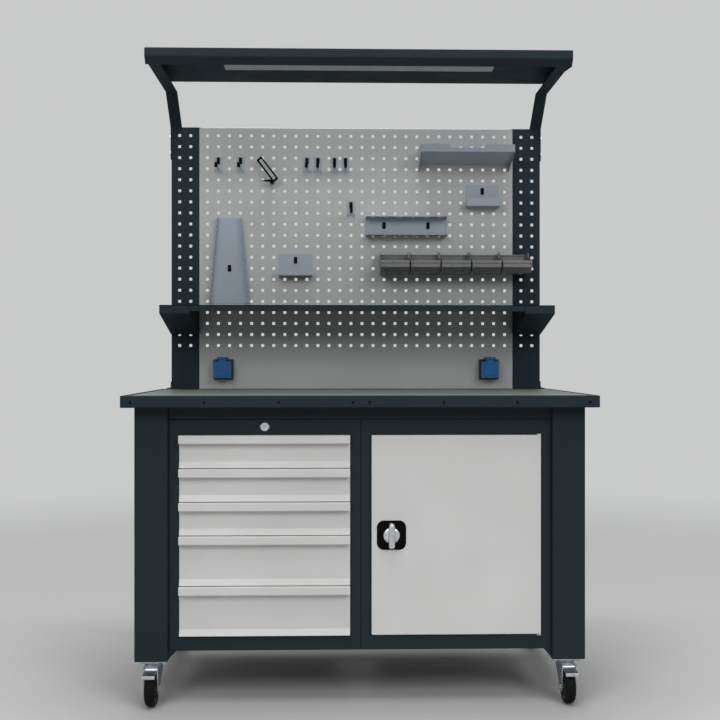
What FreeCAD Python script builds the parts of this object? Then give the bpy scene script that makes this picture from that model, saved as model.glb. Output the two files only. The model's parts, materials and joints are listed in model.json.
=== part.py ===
import FreeCAD, Part
import os
import re
import Sketcher

# Metal workbench on castors: a drawer cabinet and a door cabinet hang between four folded legs under a
# trimmed worktop; two perforated uprights behind it carry tool panels, a shelf and a lamp canopy.
# Millimetres, +Z up, front towards -Y, origin on the floor under the middle of the worktop.

SIZES = (
    ("top_width", 1350, "worktop, left to right"),
    ("top_depth", 700, "worktop, front to back"),
    ("top_height", 888, "worktop surface above the floor"),
    ("top_thick", 34, "worktop with its edge trim"),
    ("trim_sheet", 2, "edge trim and covering sheet"),
    ("trim_flange", 22, "edge trim flange over the board"),
    ("trim_rear", 42, "rear edge trim flange, under the uprights"),
    ("castor_height", 128, "castor plate face above the floor"),
    ("leg_inset", 30, "leg behind the worktop end"),
    ("leg_setback", 50, "leg behind the worktop front edge"),
    ("leg_width", 95, "leg face"),
    ("leg_depth", 60, "leg flange"),
    ("leg_sheet", 2.5, "leg wall"),
    ("leg_plate", 5, "plate that closes the foot of a leg"),
    ("rail_width", 40, "side rail, across"),
    ("rail_height", 60, "side rail and rear beam, upright"),
    ("rail_sheet", 2, "side rail, beam and apron wall"),
    ("rail_floor", 180, "lower side rail above the floor"),
    ("rail_drop", 14, "upper side rail below the worktop"),
    ("apron_height", 34, "apron under the worktop"),
    ("apron_depth", 40, "apron and rear beam, front to back"),
    ("apron_setback", 9, "apron behind the leg face"),
    ("gusset_reach", 23, "corner gusset, both legs"),
    ("gusset_sheet", 3, "corner gusset"),
    ("cabinet_setback", 65, "cabinet face behind the worktop front edge"),
    ("cabinet_rear", 85, "cabinet back in front of the worktop's rear edge"),
    ("cabinet_floor", 156, "underside of the cabinet frame"),
    ("cabinet_sheet", 1.5, "cabinet wall"),
    ("frame_sheet", 2, "front frame wall"),
    ("frame_fold", 25, "front frame, depth of its folded rim"),
    ("stile_width", 29.5, "front frame beside the opening"),
    ("plinth_rail", 42, "front frame under the opening"),
    ("head_rail", 46, "front frame over the opening"),
    ("front_gap", 1.5, "gap round drawer fronts and door"),
    ("front_sheet", 1.5, "drawer front and door sheet"),
    ("front_fold", 12, "depth of a drawer front's folded rim"),
    ("grip_reach", 20, "grip in front of the drawer face"),
    ("grip_height", 24, "grip, upright"),
    ("foot_reach", 9, "lower edge of a drawer front, forwards"),
    ("foot_height", 19, "sloping strip at the foot of a drawer front"),
    ("box_rear", 38, "space behind a drawer box"),
    ("box_lift", 8, "drawer box above its slot"),
    ("box_drop", 26, "drawer box rim below the top of its slot"),
    ("box_sheet", 1.2, "drawer box wall"),
    ("runner_space", 13, "side space for a runner"),
    ("runner_rear", 58, "space behind a runner"),
    ("runner_height", 36, "runner channel"),
    ("runner_lift", 2, "runner channel above the drawer box floor"),
    ("runner_reach", 9, "runner channel lip"),
    ("runner_sheet", 2, "runner channel wall"),
    ("slide_gap", 0.3, "clearance between sliding faces"),
    ("lock_collar", 13.5, "lock collar radius"),
    ("lock_collar_thick", 4, "lock collar"),
    ("lock_barrel", 9, "lock barrel radius"),
    ("lock_length", 23, "lock barrel behind the cabinet face"),
    ("plug_radius", 7, "lock plug radius"),
    ("plug_recess", 0.5, "lock plug behind the collar face"),
    ("key_slot", 2, "key slot, across"),
    ("key_slot_long", 9, "key slot, upright"),
    ("key_slot_deep", 6, "key slot, depth"),
    ("cam_reach", 14, "lock cam from its axis"),
    ("cam_width", 8, "lock cam"),
    ("cam_sheet", 3, "lock cam"),
    ("turn_gap", 0.05, "radial clearance of turning fits"),
    ("seat_gap", 0.1, "radial clearance of fixed round pieces"),
    ("overcut", 1, "reach of a cut past the faces it opens"),
    ("door_proud", 7, "door face in front of the cabinet face"),
    ("door_thick", 17, "door, depth of its folded rim"),
    ("hinge_inset", 4, "hinge axis from the door's face and edge"),
    ("hinge_pin", 2, "hinge pin radius"),
    ("hinge_pin_long", 9, "hinge pin"),
    ("hinge_plate", 12, "hinge bracket, across"),
    ("hinge_plate_thick", 3, "hinge bracket"),
    ("handle_plate", 84, "handle plate, square"),
    ("handle_plate_thick", 3, "handle plate"),
    ("handle_plate_round", 14, "corner radius of the handle plate"),
    ("handle_inset", 57, "handle axis from the door's free edge"),
    ("handle_height", 486, "handle axis above the floor"),
    ("rose_radius", 23.5, "handle rose radius"),
    ("rose_thick", 9, "handle rose"),
    ("wing_length", 75, "handle wing, upright"),
    ("wing_width", 20, "handle wing, across"),
    ("wing_reach", 16, "handle wing in front of the rose"),
    ("spindle_radius", 6, "handle spindle radius"),
    ("latch_length", 80, "latch tongue from the spindle"),
    ("latch_width", 22, "latch tongue"),
    ("latch_sheet", 3, "latch tongue"),
    ("inner_shelf", 470, "door cabinet shelf above the floor"),
    ("inner_shelf_fold", 25, "door cabinet shelf, depth of its rim"),
    ("inner_shelf_setback", 40, "door cabinet shelf behind the cabinet face"),
    ("swivel_inset", 50, "castor swivel axis behind the leg face"),
    ("castor_plate", 90, "castor plate, across"),
    ("castor_plate_long", 76, "castor plate, front to back"),
    ("castor_plate_thick", 4, "castor plate"),
    ("castor_bolt", 6.5, "castor bolt head radius"),
    ("castor_bolt_high", 5, "castor bolt head"),
    ("castor_bolt_inset", 10, "castor bolt from the plate's edges"),
    ("swivel_radius", 30, "swivel head radius"),
    ("swivel_height", 11, "swivel head"),
    ("king_pin", 6, "king pin radius"),
    ("king_root", 2, "king pin inside the swivel head"),
    ("fork_inner", 37, "space between the fork's cheeks"),
    ("fork_sheet", 3, "fork wall"),
    ("cheek_nose", 9, "fork cheek in front of the pedal axis and below it"),
    ("cheek_half", 16, "fork cheek beside the axle, and its edge under the crown"),
    ("cheek_drop", 15, "fork cheek below the axle"),
    ("cheek_foot", 9, "half of a fork cheek's lower edge"),
    ("castor_trail", 36, "wheel axle from the swivel axis"),
    ("wheel_radius", 50, "wheel radius"),
    ("wheel_width", 30, "wheel tread"),
    ("hub_radius", 14, "wheel hub radius"),
    ("axle_radius", 5, "axle radius"),
    ("nut_radius", 9, "axle nut radius"),
    ("nut_thick", 5, "axle nut"),
    ("pedal_trail", 46, "pedal axis from the swivel axis"),
    ("pedal_height", 106, "pedal axis above the floor"),
    ("pedal_reach", 48, "pedal tip from its axis"),
    ("pedal_fall", 5, "pedal tip below its axis"),
    ("pedal_lip", 9, "pedal lip, upright"),
    ("pedal_sheet", 3, "pedal plate"),
    ("pedal_pin", 2.5, "pedal pin radius"),
    ("pedal_eye", 5.5, "pedal eye radius"),
    ("upright_inset", 39, "outer face of an upright from the worktop's end"),
    ("upright_width", 95, "upright face"),
    ("upright_depth", 38, "upright flange"),
    ("upright_sheet", 2, "upright wall"),
    ("upright_high", 900, "upright above the worktop"),
    ("upright_setback", 40, "upright face from the worktop's rear edge"),
    ("foot_sheet", 3, "upright foot bracket"),
    ("foot_rise", 26, "upright foot bracket, upright"),
    ("foot_spread", 18, "upright foot bracket, on the worktop"),
    ("hole_pitch", 38, "perforation pitch"),
    ("hole_side", 10, "perforation, square"),
    ("hole_margin", 66, "highest row of holes below the top of an upright"),
    ("hole_edge", 28, "outer column of holes from the outer face of an upright"),
    ("panel_sheet", 1.5, "tool panel sheet"),
    ("panel_fold", 20, "tool panel, depth of its folded rim"),
    ("panel_seam", 655, "joint between the panels below the top of an upright"),
    ("socket_side", 69, "socket base, square"),
    ("socket_thick", 10, "socket base"),
    ("socket_inset", 84, "middle of a socket from the upright beside it"),
    ("socket_height", 68, "socket above the worktop"),
    ("barrel_side", 56, "socket barrel, square"),
    ("barrel_reach", 24, "socket barrel in front of its base"),
    ("well_radius", 20, "socket well radius"),
    ("well_depth", 22, "socket well"),
    ("lid_side", 60, "socket lid, across"),
    ("lid_thick", 6, "socket lid"),
    ("lid_rise", 36, "lid axis above the socket's middle"),
    ("lid_offset", 2, "lid axis in front of the socket barrel"),
    ("lid_pin", 2.5, "lid pin radius"),
    ("lid_eye", 6, "lid eye radius"),
    ("lid_neck", 27.4, "lid eye, across"),
    ("lid_ear", 4, "ear beside the lid eye"),
    ("shelf_overhang", 2, "shelf end beyond the upright"),
    ("shelf_depth", 237, "shelf, front to back"),
    ("shelf_height", 277, "shelf surface above the worktop"),
    ("shelf_sheet", 2, "shelf and shelf bracket sheet"),
    ("shelf_lip", 20, "shelf front lip"),
    ("bracket_front", 27, "shelf bracket, height at its front"),
    ("bracket_rear", 88, "shelf bracket, height at its rear"),
    ("canopy_front", 479, "canopy in front of the uprights"),
    ("canopy_rear", 106, "rear edge of the canopy in front of the uprights"),
    ("canopy_rise", 130, "canopy top above the uprights"),
    ("canopy_sheet", 2, "canopy sheet"),
    ("canopy_fascia", 26, "canopy fascia"),
    ("canopy_return", 20, "sloping return under the fascia, both ways"),
    ("arm_sheet", 3, "canopy arm sheet"),
    ("arm_depth", 36, "canopy arm, upright part of its side"),
    ("arm_flange", 36, "canopy arm flange, across"),
    ("arm_overlap", 110, "canopy arm beside the upright"),
    ("lamp_inset", 231, "lamp end from the canopy's end"),
    ("lamp_width", 70, "lamp, front to back"),
    ("lamp_high", 32, "lamp housing"),
    ("lamp_setback", 40, "lamp behind the fascia"),
    ("lamp_slope", 10, "slope of the lamp housing's sides"),
    ("diffuser_thick", 5, "lamp diffuser"),
    ("tray_width", 315, "tray, left to right"),
    ("tray_depth", 130, "tray, front to back"),
    ("tray_middle", 370, "tray from the middle of the bench"),
    ("tray_height", 795, "tray floor above the worktop"),
    ("tray_sheet", 1.5, "tray sheet"),
    ("tray_lip", 25, "tray front lip"),
    ("tray_fall", 20, "fall of the tray floor towards the panel"),
    ("tray_dip", 12, "finger cut-out in the tray lip"),
    ("tray_dip_width", 117, "finger cut-out, across"),
    ("tray_brace", 45, "tray side below its floor, at the panel"),
    ("bin_count", 5, "bins on the rail"),
    ("bin_pitch", 103, "bin to bin"),
    ("bin_width", 99, "bin, across"),
    ("bin_depth", 100, "bin, front to back"),
    ("bin_high", 55, "bin, at its rear"),
    ("bin_front", 38, "bin, at its front rim"),
    ("bin_toe", 17, "slope under the bin's front, upright"),
    ("bin_wall", 2, "bin wall"),
    ("bin_start", 78, "left end of the bins from the middle of the bench"),
    ("bin_height", 395, "bin floor above the worktop"),
    ("bin_rail", 7, "bin rail, front to back"),
    ("bin_rail_high", 26, "bin rail, upright"),
    ("rack_sheet", 1.5, "rack sheet"),
    ("hole_rack_width", 278, "hole rack, left to right"),
    ("hole_rack_middle", 171, "hole rack from the middle of the bench"),
    ("hole_rack_high", 64, "hole rack, upright"),
    ("hole_rack_height", 526, "hole rack above the worktop"),
    ("hole_rack_depth", 42, "hole rack flanges"),
    ("hole_rack_hole", 12, "hole in a hole rack, square"),
    ("hole_rack_count", 6, "holes in a hole rack"),
    ("bit_rack_width", 115, "bit rack, left to right"),
    ("bit_rack_depth", 40, "bit rack floor"),
    ("bit_rack_lip", 28, "bit rack front lip"),
    ("bit_rack_back", 78, "bit rack back plate"),
    ("bit_rack_hole", 9, "hole in a bit rack, square"),
    ("bit_rack_count", 6, "holes in a bit rack"),
    ("bit_rack_right", 435, "right bit rack from the middle of the bench"),
    ("bit_rack_right_up", 627, "right bit rack above the worktop"),
    ("bit_rack_left", 210, "left bit rack from the middle of the bench"),
    ("bit_rack_left_up", 388, "left bit rack above the worktop"),
    ("notched_middle", 437, "notched rack from the middle of the bench"),
    ("notched_top", 82, "notched rack, across its top"),
    ("notched_foot", 136, "notched rack, across its foot"),
    ("notched_high", 294, "notched rack, upright"),
    ("notched_height", 295, "notched rack above the worktop"),
    ("notched_depth", 25, "notched rack flanges"),
    ("notch_deep", 17, "notch, from the front"),
    ("notch_high", 8, "notch, upright"),
    ("notch_count", 15, "notches in a flange"),
    ("notch_margin", 14, "lowest notch above the foot of the rack"),
    ("hook_plate", 26, "hook plate, across"),
    ("hook_plate_high", 52, "hook plate, upright"),
    ("hook_plate_thick", 2, "hook plate"),
    ("hook_rod", 3, "hook rod radius"),
    ("hook_reach", 62, "hook rod"),
    ("hook_drop", 9, "hook rod above the foot of its plate"),
    ("cap_width", 10, "hook end cap, across"),
    ("cap_high", 16, "hook end cap, upright"),
    ("cap_long", 18, "hook end cap"),
    ("fork_holder_thick", 12, "fork holder bars, front to back"),
    ("fork_holder_reach", 36, "fork holder bars in front of the panel"),
    ("fork_holder_bar", 6, "fork holder bar"),
)
PANEL_ROWS = 8
LOWER_ROWS = 2
UPRIGHT_COLUMNS = 2
NUT_SIDES = 6
ROD_SIDES = 8
HUB_SIDES = 8
RING_SIDES = 20
CORNERS = ("front_left", "front_right", "rear_left", "rear_right")

doc = FreeCAD.newDocument("workbench")
sheet = doc.addObject("Spreadsheet::Sheet", "Sizes")
for row, (alias, size, meaning) in enumerate(SIZES, start=1):
    sheet.set(f"A{row}", meaning)
    sheet.set(f"B{row}", str(size))
    sheet.setAlias(f"B{row}", alias)
doc.recompute()

ALIASES = {alias for alias, _, _ in SIZES}
nodes = []
cuts = []

# Named places, as expressions of the driving sizes.
TOP_UNDER = "(top_height - top_thick)"
BOARD_UNDER = "(top_height - top_thick + trim_sheet)"
LEG_OUT = "(top_width / 2 - leg_inset)"
LEG_IN = "(top_width / 2 - leg_inset - leg_width)"
LEG_FACE = "(top_depth / 2 - leg_setback)"
APRON_UNDER = "(top_height - top_thick - apron_height)"
LOCK_Z = "(top_height - top_thick - apron_height - head_rail / 2)"
CABINET_FACE = "(cabinet_setback - top_depth / 2)"
CABINET_BACK = "(top_depth / 2 - cabinet_rear)"
OPENING_FLOOR = "(cabinet_floor + plinth_rail)"
OPENING_TOP = "(top_height - top_thick - apron_height - head_rail)"
OPENING_HIGH = f"({OPENING_TOP} - {OPENING_FLOOR})"
HIGH_DRAWER = f"({OPENING_HIGH} / 4)"
LOW_DRAWER = f"({OPENING_HIGH} / 6)"
SLOTS = (HIGH_DRAWER, HIGH_DRAWER, LOW_DRAWER, LOW_DRAWER, LOW_DRAWER)
OPENING_IN = "stile_width"
OPENING_OUT = "(top_width / 2 - leg_inset - leg_width - stile_width)"
PANEL_FACE = "(top_depth / 2 - upright_setback)"
UPRIGHT_TOP = "(top_height + upright_high)"
UPRIGHT_OUT = "(top_width / 2 - upright_inset)"
UPRIGHT_IN = "(top_width / 2 - upright_inset - upright_width)"
PANEL_COLUMNS = f"floor((2 * {UPRIGHT_IN} - hole_side) / hole_pitch)"
HOLE_STEP = "(2 * hole_pitch)"
PANEL_SEAM = "(top_height + upright_high - panel_seam)"
HOLE_TOP = "(top_height + upright_high - hole_margin)"
SWIVEL_X = "(top_width / 2 - leg_inset - leg_width / 2)"
SWIVEL_Y = "(top_depth / 2 - leg_setback - swivel_inset)"
CANOPY_TOP = "(top_height + upright_high + canopy_rise)"
CANOPY_END = "(top_width / 2 - upright_inset + arm_sheet + canopy_sheet)"
LAMP_END = f"({CANOPY_END} - lamp_inset)"


def link(expression):
    """An expression in which each driving size is named through the sheet."""
    return re.sub(r"[a-z_]+", lambda m: "Sizes." + m[0] if m[0] in ALIASES else m[0], str(expression))


def bind(item, name, expression):
    item.setExpression(name, link(expression))


def number(expression):
    return float(sheet.evalExpression(str(expression)))


def minus(expression):
    return f"-({expression})"


def both(expression):
    """From minus to plus the same distance from the middle."""
    return minus(expression), expression


def flip(span):
    """The same span on the other side of the middle."""
    return minus(span[1]), minus(span[0])


def node(label, item):
    item.Label = label
    nodes.append(item)
    return item


def block(name, x, y, z):
    """A box between low and high expressions on each axis."""
    box = doc.addObject("Part::Box", name)
    for side, axis, (low, high) in (("Length", "x", x), ("Width", "y", y), ("Height", "z", z)):
        bind(box, side, f"({high}) - ({low})")
        bind(box, f"Placement.Base.{axis}", low)
    return box


TURNS = {
    "x": FreeCAD.Rotation(FreeCAD.Vector(0, 1, 0), 90),
    "y": FreeCAD.Rotation(FreeCAD.Vector(1, 0, 0), -90),
    "z": FreeCAD.Rotation(),
}


def rod(name, axis, start, radius, length):
    """A cylinder that leaves start along +X, +Y or +Z."""
    cylinder = doc.addObject("Part::Cylinder", name)
    cylinder.Placement = FreeCAD.Placement(FreeCAD.Vector(), TURNS[axis])
    bind(cylinder, "Radius", radius)
    bind(cylinder, "Height", length)
    for letter, place in zip("xyz", start):
        bind(cylinder, f"Placement.Base.{letter}", place)
    return cylinder


def faceted(name, axis, start, radius, length, sides):
    """A many-sided rod that leaves start along an axis; the radius reaches its corners."""
    prism_shape = doc.addObject("Part::Prism", name)
    prism_shape.Polygon = sides
    prism_shape.Placement = FreeCAD.Placement(FreeCAD.Vector(), TURNS[axis])
    bind(prism_shape, "Circumradius", radius)
    bind(prism_shape, "Height", length)
    for letter, place in zip("xyz", start):
        bind(prism_shape, f"Placement.Base.{letter}", place)
    return prism_shape


def around(radius, sides):
    """The corner radius of a many-sided hole whose flats stay clear of a round rod."""
    return f"({radius}) / cos({180 / sides} deg)"


def cut(name, base, *tools):
    for index, tool in enumerate(tools):
        result = doc.addObject("Part::Cut", f"{name}_{index}")
        result.Base = base
        result.Tool = tool
        cuts.append((base, result))
        base = result
    return base


def join(name, *shapes):
    result = doc.addObject("Part::MultiFuse", name)
    result.Shapes = list(shapes)
    result.Refine = True
    return result


def group(name, *solids):
    result = doc.addObject("Part::Compound", name)
    result.Links = list(solids)
    return result


def mirror(name, source, axis):
    """The piece's twin across the middle plane that the axis crosses."""
    result = doc.addObject("Part::Mirroring", name)
    result.Source = source
    result.Normal = FreeCAD.Vector(axis == "x", axis == "y", axis == "z")
    return result


def outline(body, name, plane, points, place):
    """A closed sketch through (u, v) expressions, standing at a distance along the plane's normal."""
    sketch = body.newObject("Sketcher::SketchObject", name)
    origin = next(f for f in body.Origin.OriginFeatures if f.Role == f"{plane}_Plane")
    sketch.AttachmentSupport = [(origin, "")]
    sketch.MapMode = "FlatFace"
    bind(sketch, "AttachmentOffset.Base.z", place)
    corners = [FreeCAD.Vector(number(u), number(v), 0) for u, v in points]
    ends = corners[1:] + corners[:1]
    sketch.addGeometry([Part.LineSegment(a, b) for a, b in zip(corners, ends)])
    count = len(points)
    sketch.addConstraint([Sketcher.Constraint("Coincident", i, 2, (i + 1) % count, 1) for i in range(count)])
    for i, (u, v) in enumerate(points):
        across = ("DistanceX", f"u{i}", u, corners[i].x)
        upwards = ("DistanceY", f"v{i}", v, corners[i].y)
        for kind, tag, text, now in (across, upwards):
            index = sketch.addConstraint(Sketcher.Constraint(kind, -1, 1, i, 1, now))
            sketch.renameConstraint(index, tag)
            bind(sketch, f"Constraints.{tag}", text)
    return sketch


def pad(body, name, plane, points, span):
    """Material inside an outline, between two places along the axis that the plane leaves free."""
    low, high = span
    feature = body.newObject("PartDesign::Pad", name)
    feature.Profile = outline(body, f"{name}_outline", plane, points, minus(high) if plane == "XZ" else low)
    bind(feature, "Length", f"({high}) - ({low})")
    body.Tip = feature
    return feature


def pocket(body, name, plane, points, span):
    """Material taken away inside an outline, between two places."""
    low, high = span
    before = body.Tip
    feature = body.newObject("PartDesign::Pocket", name)
    feature.Profile = outline(body, f"{name}_outline", plane, points, minus(low) if plane == "XZ" else high)
    bind(feature, "Length", f"({high}) - ({low})")
    body.Tip = feature
    cuts.append((before, feature))
    return feature


def pattern(body, name, feature, *runs):
    """Repeats a feature along the axes of its own sketch: (axis, pitch, count) for each run."""
    result = body.newObject("PartDesign::MultiTransform", name)
    result.Originals = [feature]
    steps = []
    for axis, pitch, count in runs:
        step = body.newObject("PartDesign::LinearPattern", f"{name}_{axis}")
        step.Direction = (feature.Profile[0], [axis])
        bind(step, "Occurrences", count)
        bind(step, "Length", f"({pitch}) * (({count}) - 1)")
        steps.append(step)
    result.Transformations = steps
    body.Tip = result
    cuts.append((feature, result))
    return result


def prism(name, plane, points, span):
    body = doc.addObject("PartDesign::Body", name)
    pad(body, f"{name}_pad", plane, points, span)
    return body


def rectangle(u, v):
    return [(u[0], v[0]), (u[1], v[0]), (u[1], v[1]), (u[0], v[1])]


def centred(middle, side):
    return f"{middle} - ({side}) / 2", f"{middle} + ({side}) / 2"


# Worktop: a board in an edge trim of two lengths that meet in the middle, under a covering sheet.
def build_worktop():
    wall_x = "(top_width / 2 - trim_sheet)"
    wall_y = "(top_depth / 2 - trim_sheet)"
    window_x = "(top_width / 2 - trim_sheet - trim_flange)"
    window_y = ("trim_sheet + trim_flange - top_depth / 2", "top_depth / 2 - trim_sheet - trim_rear")
    board_z = (f"{TOP_UNDER} + trim_sheet", "top_height - trim_sheet")
    node("worktop_board", block("board", both(wall_x), both(wall_y), board_z))
    cover_z = ("top_height - trim_sheet", "top_height")
    node("worktop_sheet", block("covering", both(window_x), window_y, cover_z))
    length = cut(
        "trim",
        block("trim_outer", ("-top_width / 2", "0"), both("top_depth / 2"), (TOP_UNDER, "top_height")),
        block("trim_groove", (minus(wall_x), "trim_sheet"), both(wall_y), board_z),
        block(
            "trim_window", (minus(window_x), "trim_sheet"), window_y,
            (f"{TOP_UNDER} - overcut", "top_height + overcut"),
        ),
    )
    node("edge_trim", group("trim_lengths", length, mirror("trim_right", length, "x")))


# Base frame: folded legs closed by a foot plate, rails between them, an apron and beams across.
def build_base_frame():
    wall = "leg_sheet"
    inner_out, inner_in = f"{LEG_OUT} - {wall}", f"{LEG_IN} + {wall}"
    rear = f"{LEG_FACE} - leg_depth"
    channel = [
        (minus(LEG_OUT), minus(LEG_FACE)), (minus(LEG_IN), minus(LEG_FACE)),
        (minus(LEG_IN), minus(rear)), (minus(inner_in), minus(rear)),
        (minus(inner_in), minus(f"{LEG_FACE} - {wall}")), (minus(inner_out), minus(f"{LEG_FACE} - {wall}")),
        (minus(inner_out), minus(rear)), (minus(LEG_OUT), minus(rear)),
    ]
    leg = prism("leg_fold", "XY", channel, ("castor_height", BOARD_UNDER))
    plate = rectangle(flip((inner_in, inner_out)), flip((rear, f"{LEG_FACE} - {wall}")))
    pad(leg, "leg_foot", "XY", plate, ("castor_height", "castor_height + leg_plate"))
    rear_leg = mirror("leg_rl", leg, "y")
    node("legs_front", group("front_pair", leg, mirror("leg_fr", leg, "x")))
    node("legs_rear", group("rear_pair", rear_leg, mirror("leg_rr", rear_leg, "x")))

    rails = []
    rail_x = flip((f"{inner_out} - rail_width", inner_out))
    rail_y = both(f"{LEG_FACE} - {wall}")
    upper_rail = f"{TOP_UNDER} - rail_drop - rail_height"
    for level, floor in (("lower", "rail_floor"), ("upper", upper_rail)):
        rail = cut(
            f"rail_{level}",
            block(f"rail_{level}_outer", rail_x, rail_y, (floor, f"{floor} + rail_height")),
            block(
                f"rail_{level}_inner",
                (f"{rail_x[0]} + rail_sheet", f"{rail_x[1]} + overcut"), rail_y,
                (f"{floor} + rail_sheet", f"{floor} + rail_height - rail_sheet"),
            ),
        )
        rails += [rail, mirror(f"rail_{level}_right", rail, "x")]
    node("side_rails", group("rails", *rails))

    apron_front = f"apron_setback - {LEG_FACE}"
    apron_y = (apron_front, f"{apron_front} + apron_depth")
    node("front_apron", beam("apron", apron_y, (APRON_UNDER, BOARD_UNDER)))
    upper = beam("rear_upper", flip(apron_y), (APRON_UNDER, BOARD_UNDER))
    lower = beam("rear_lower", (CABINET_BACK, LEG_FACE), ("cabinet_floor", "cabinet_floor + rail_height"))
    node("rear_beams", group("beams", upper, lower))

    corner = [
        (minus(LEG_IN), "cabinet_floor - gusset_reach"),
        (f"gusset_reach - {LEG_IN}", "cabinet_floor"),
        (minus(LEG_IN), "cabinet_floor"),
    ]
    front = prism("gusset", "XZ", corner, (CABINET_FACE, f"{CABINET_FACE} + gusset_sheet"))
    back = prism("gusset_back", "XZ", corner, (CABINET_BACK, f"{CABINET_BACK} + gusset_sheet"))
    plates = [front, mirror("gusset_fr", front, "x"), back, mirror("gusset_rr", back, "x")]
    node("corner_gussets", group("gussets", *plates))


def beam(name, y, z):
    """A folded beam between the legs, open underneath."""
    inner_y = (f"{y[0]} + rail_sheet", f"{y[1]} - rail_sheet")
    inner_z = (f"{z[0]} - overcut", f"{z[1]} - rail_sheet")
    outer = block(f"{name}_outer", both(LEG_IN), y, z)
    return cut(name, outer, block(f"{name}_inner", both(LEG_IN), inner_y, inner_z))


# Cabinets: a front frame with a folded rim, and a box behind its opening.
def build_cabinet(name, side):
    turn = flip if side == "left" else tuple
    frame_x = turn(("0", LEG_IN))
    frame_z = ("cabinet_floor", APRON_UNDER)
    rim_y = (CABINET_FACE, f"{CABINET_FACE} + frame_fold")
    hollow_x = turn(("frame_sheet", f"{LEG_IN} - frame_sheet"))
    hollow_y = (f"{CABINET_FACE} + frame_sheet", f"{rim_y[1]} + overcut")
    hollow_z = ("cabinet_floor + frame_sheet", f"{APRON_UNDER} - frame_sheet")
    frame = cut(
        f"{name}_frame",
        block(f"{name}_rim", frame_x, rim_y, frame_z),
        block(f"{name}_behind", hollow_x, hollow_y, hollow_z),
    )
    wall = "cabinet_sheet"
    shell = block(
        f"{name}_box",
        turn((f"{OPENING_IN} - {wall}", f"{OPENING_OUT} + {wall}")),
        (CABINET_FACE, CABINET_BACK),
        (f"{OPENING_FLOOR} - {wall}", f"{OPENING_TOP} + {wall}"),
    )
    space = block(
        f"{name}_space",
        turn((OPENING_IN, OPENING_OUT)),
        (f"{CABINET_FACE} - overcut", f"{CABINET_BACK} - {wall}"),
        (OPENING_FLOOR, OPENING_TOP),
    )
    return cut(f"{name}_shell", join(f"{name}_walls", frame, shell), space)


LOCK_X = f"-({OPENING_IN} + {OPENING_OUT}) / 2"


def build_drawer_cabinet():
    shell = build_cabinet("drawer_cabinet", "left")
    lock_hole = faceted(
        "lock_hole", "y", (LOCK_X, f"{CABINET_FACE} - overcut", LOCK_Z),
        "lock_barrel + seat_gap", "frame_sheet + 2 * overcut", HUB_SIDES,
    )
    node("drawer_cabinet", cut("lock_rail", shell, lock_hole))

    fixed = []
    floor = OPENING_FLOOR
    for level, slot in zip(range(len(SLOTS), 0, -1), SLOTS):
        fixed += build_drawer(level, floor, slot)
        floor = f"{floor} + {slot}"
    node("drawer_runners", group("runner_channels", *fixed))


def build_drawer(level, floor, slot):
    """One drawer: folded front with grip, open box and sliding bars. Gives the channels back."""
    name = f"drawer_{level}"
    wall = "front_sheet"
    foot = f"({floor} + front_gap / 2)"
    top = f"({floor} + {slot} - front_gap / 2)"
    face, rear = CABINET_FACE, f"({CABINET_FACE} + front_fold)"
    grip = f"({face} - grip_reach)"
    under = f"({top} - grip_height)"
    toe = f"({face} - foot_reach)"
    span = flip((f"{OPENING_IN} + front_gap / 2", f"{OPENING_OUT} - front_gap / 2"))
    shape = [
        (rear, foot), (toe, foot), (face, f"{foot} + foot_height"), (face, under),
        (grip, under), (grip, top), (rear, top),
    ]
    space = [
        (rear, f"{foot} + {wall}"), (f"{toe} + 2 * {wall}", f"{foot} + {wall}"),
        (f"{face} + {wall}", f"{foot} + foot_height"), (f"{face} + {wall}", f"{under} + {wall}"),
        (f"{grip} + {wall}", f"{under} + {wall}"), (f"{grip} + {wall}", f"{top} - {wall}"),
        (rear, f"{top} - {wall}"),
    ]
    front = prism(f"{name}_face", "YZ", shape, span)
    pocket(front, f"{name}_fold", "YZ", space, (f"{span[0]} + {wall}", f"{span[1]} - {wall}"))

    box_x = flip((f"{OPENING_IN} + runner_space", f"{OPENING_OUT} - runner_space"))
    box_y = (rear, f"{CABINET_BACK} - box_rear")
    box_z = (f"{floor} + box_lift", f"{floor} + {slot} - box_drop")
    box = cut(
        f"{name}_tray",
        block(f"{name}_outer", box_x, box_y, box_z),
        block(
            f"{name}_inner",
            (f"{box_x[0]} + box_sheet", f"{box_x[1]} - box_sheet"),
            (f"{box_y[0]} + box_sheet", f"{box_y[1]} - box_sheet"),
            (f"{box_z[0]} + box_sheet", f"{box_z[1]} + overcut"),
        ),
    )

    channel_foot = f"{floor} + box_lift + runner_lift"
    channel_z = (channel_foot, f"{channel_foot} + runner_height")
    bar_z = (f"{channel_z[0]} + runner_sheet + slide_gap", f"{channel_z[1]} - runner_sheet - slide_gap")
    bar_y = (rear, f"{CABINET_BACK} - runner_rear")
    channel_y = (f"{rear} + slide_gap", bar_y[1])
    bars, channels = [], []
    for side in ("left", "right"):
        bar_x = from_wall(side, "runner_sheet + slide_gap", "runner_space")
        bars.append(block(f"{name}_bar_{side}", bar_x, bar_y, bar_z))
        channels.append(cut(
            f"{name}_channel_{side}",
            block(f"{name}_rail_{side}", from_wall(side, "0", "runner_reach"), channel_y, channel_z),
            block(
                f"{name}_groove_{side}", from_wall(side, "runner_sheet", "runner_reach + overcut"), channel_y,
                (f"{channel_z[0]} + runner_sheet", f"{channel_z[1]} - runner_sheet"),
            ),
        ))
    node(name, group(f"{name}_carriage", front, box, *bars))
    return channels


def from_wall(side, near, far):
    """A span inwards from a side wall of the drawer cabinet."""
    if side == "left":
        return f"({near}) - {OPENING_OUT}", f"({far}) - {OPENING_OUT}"
    return f"-({far}) - {OPENING_IN}", f"-({near}) - {OPENING_IN}"


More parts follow.
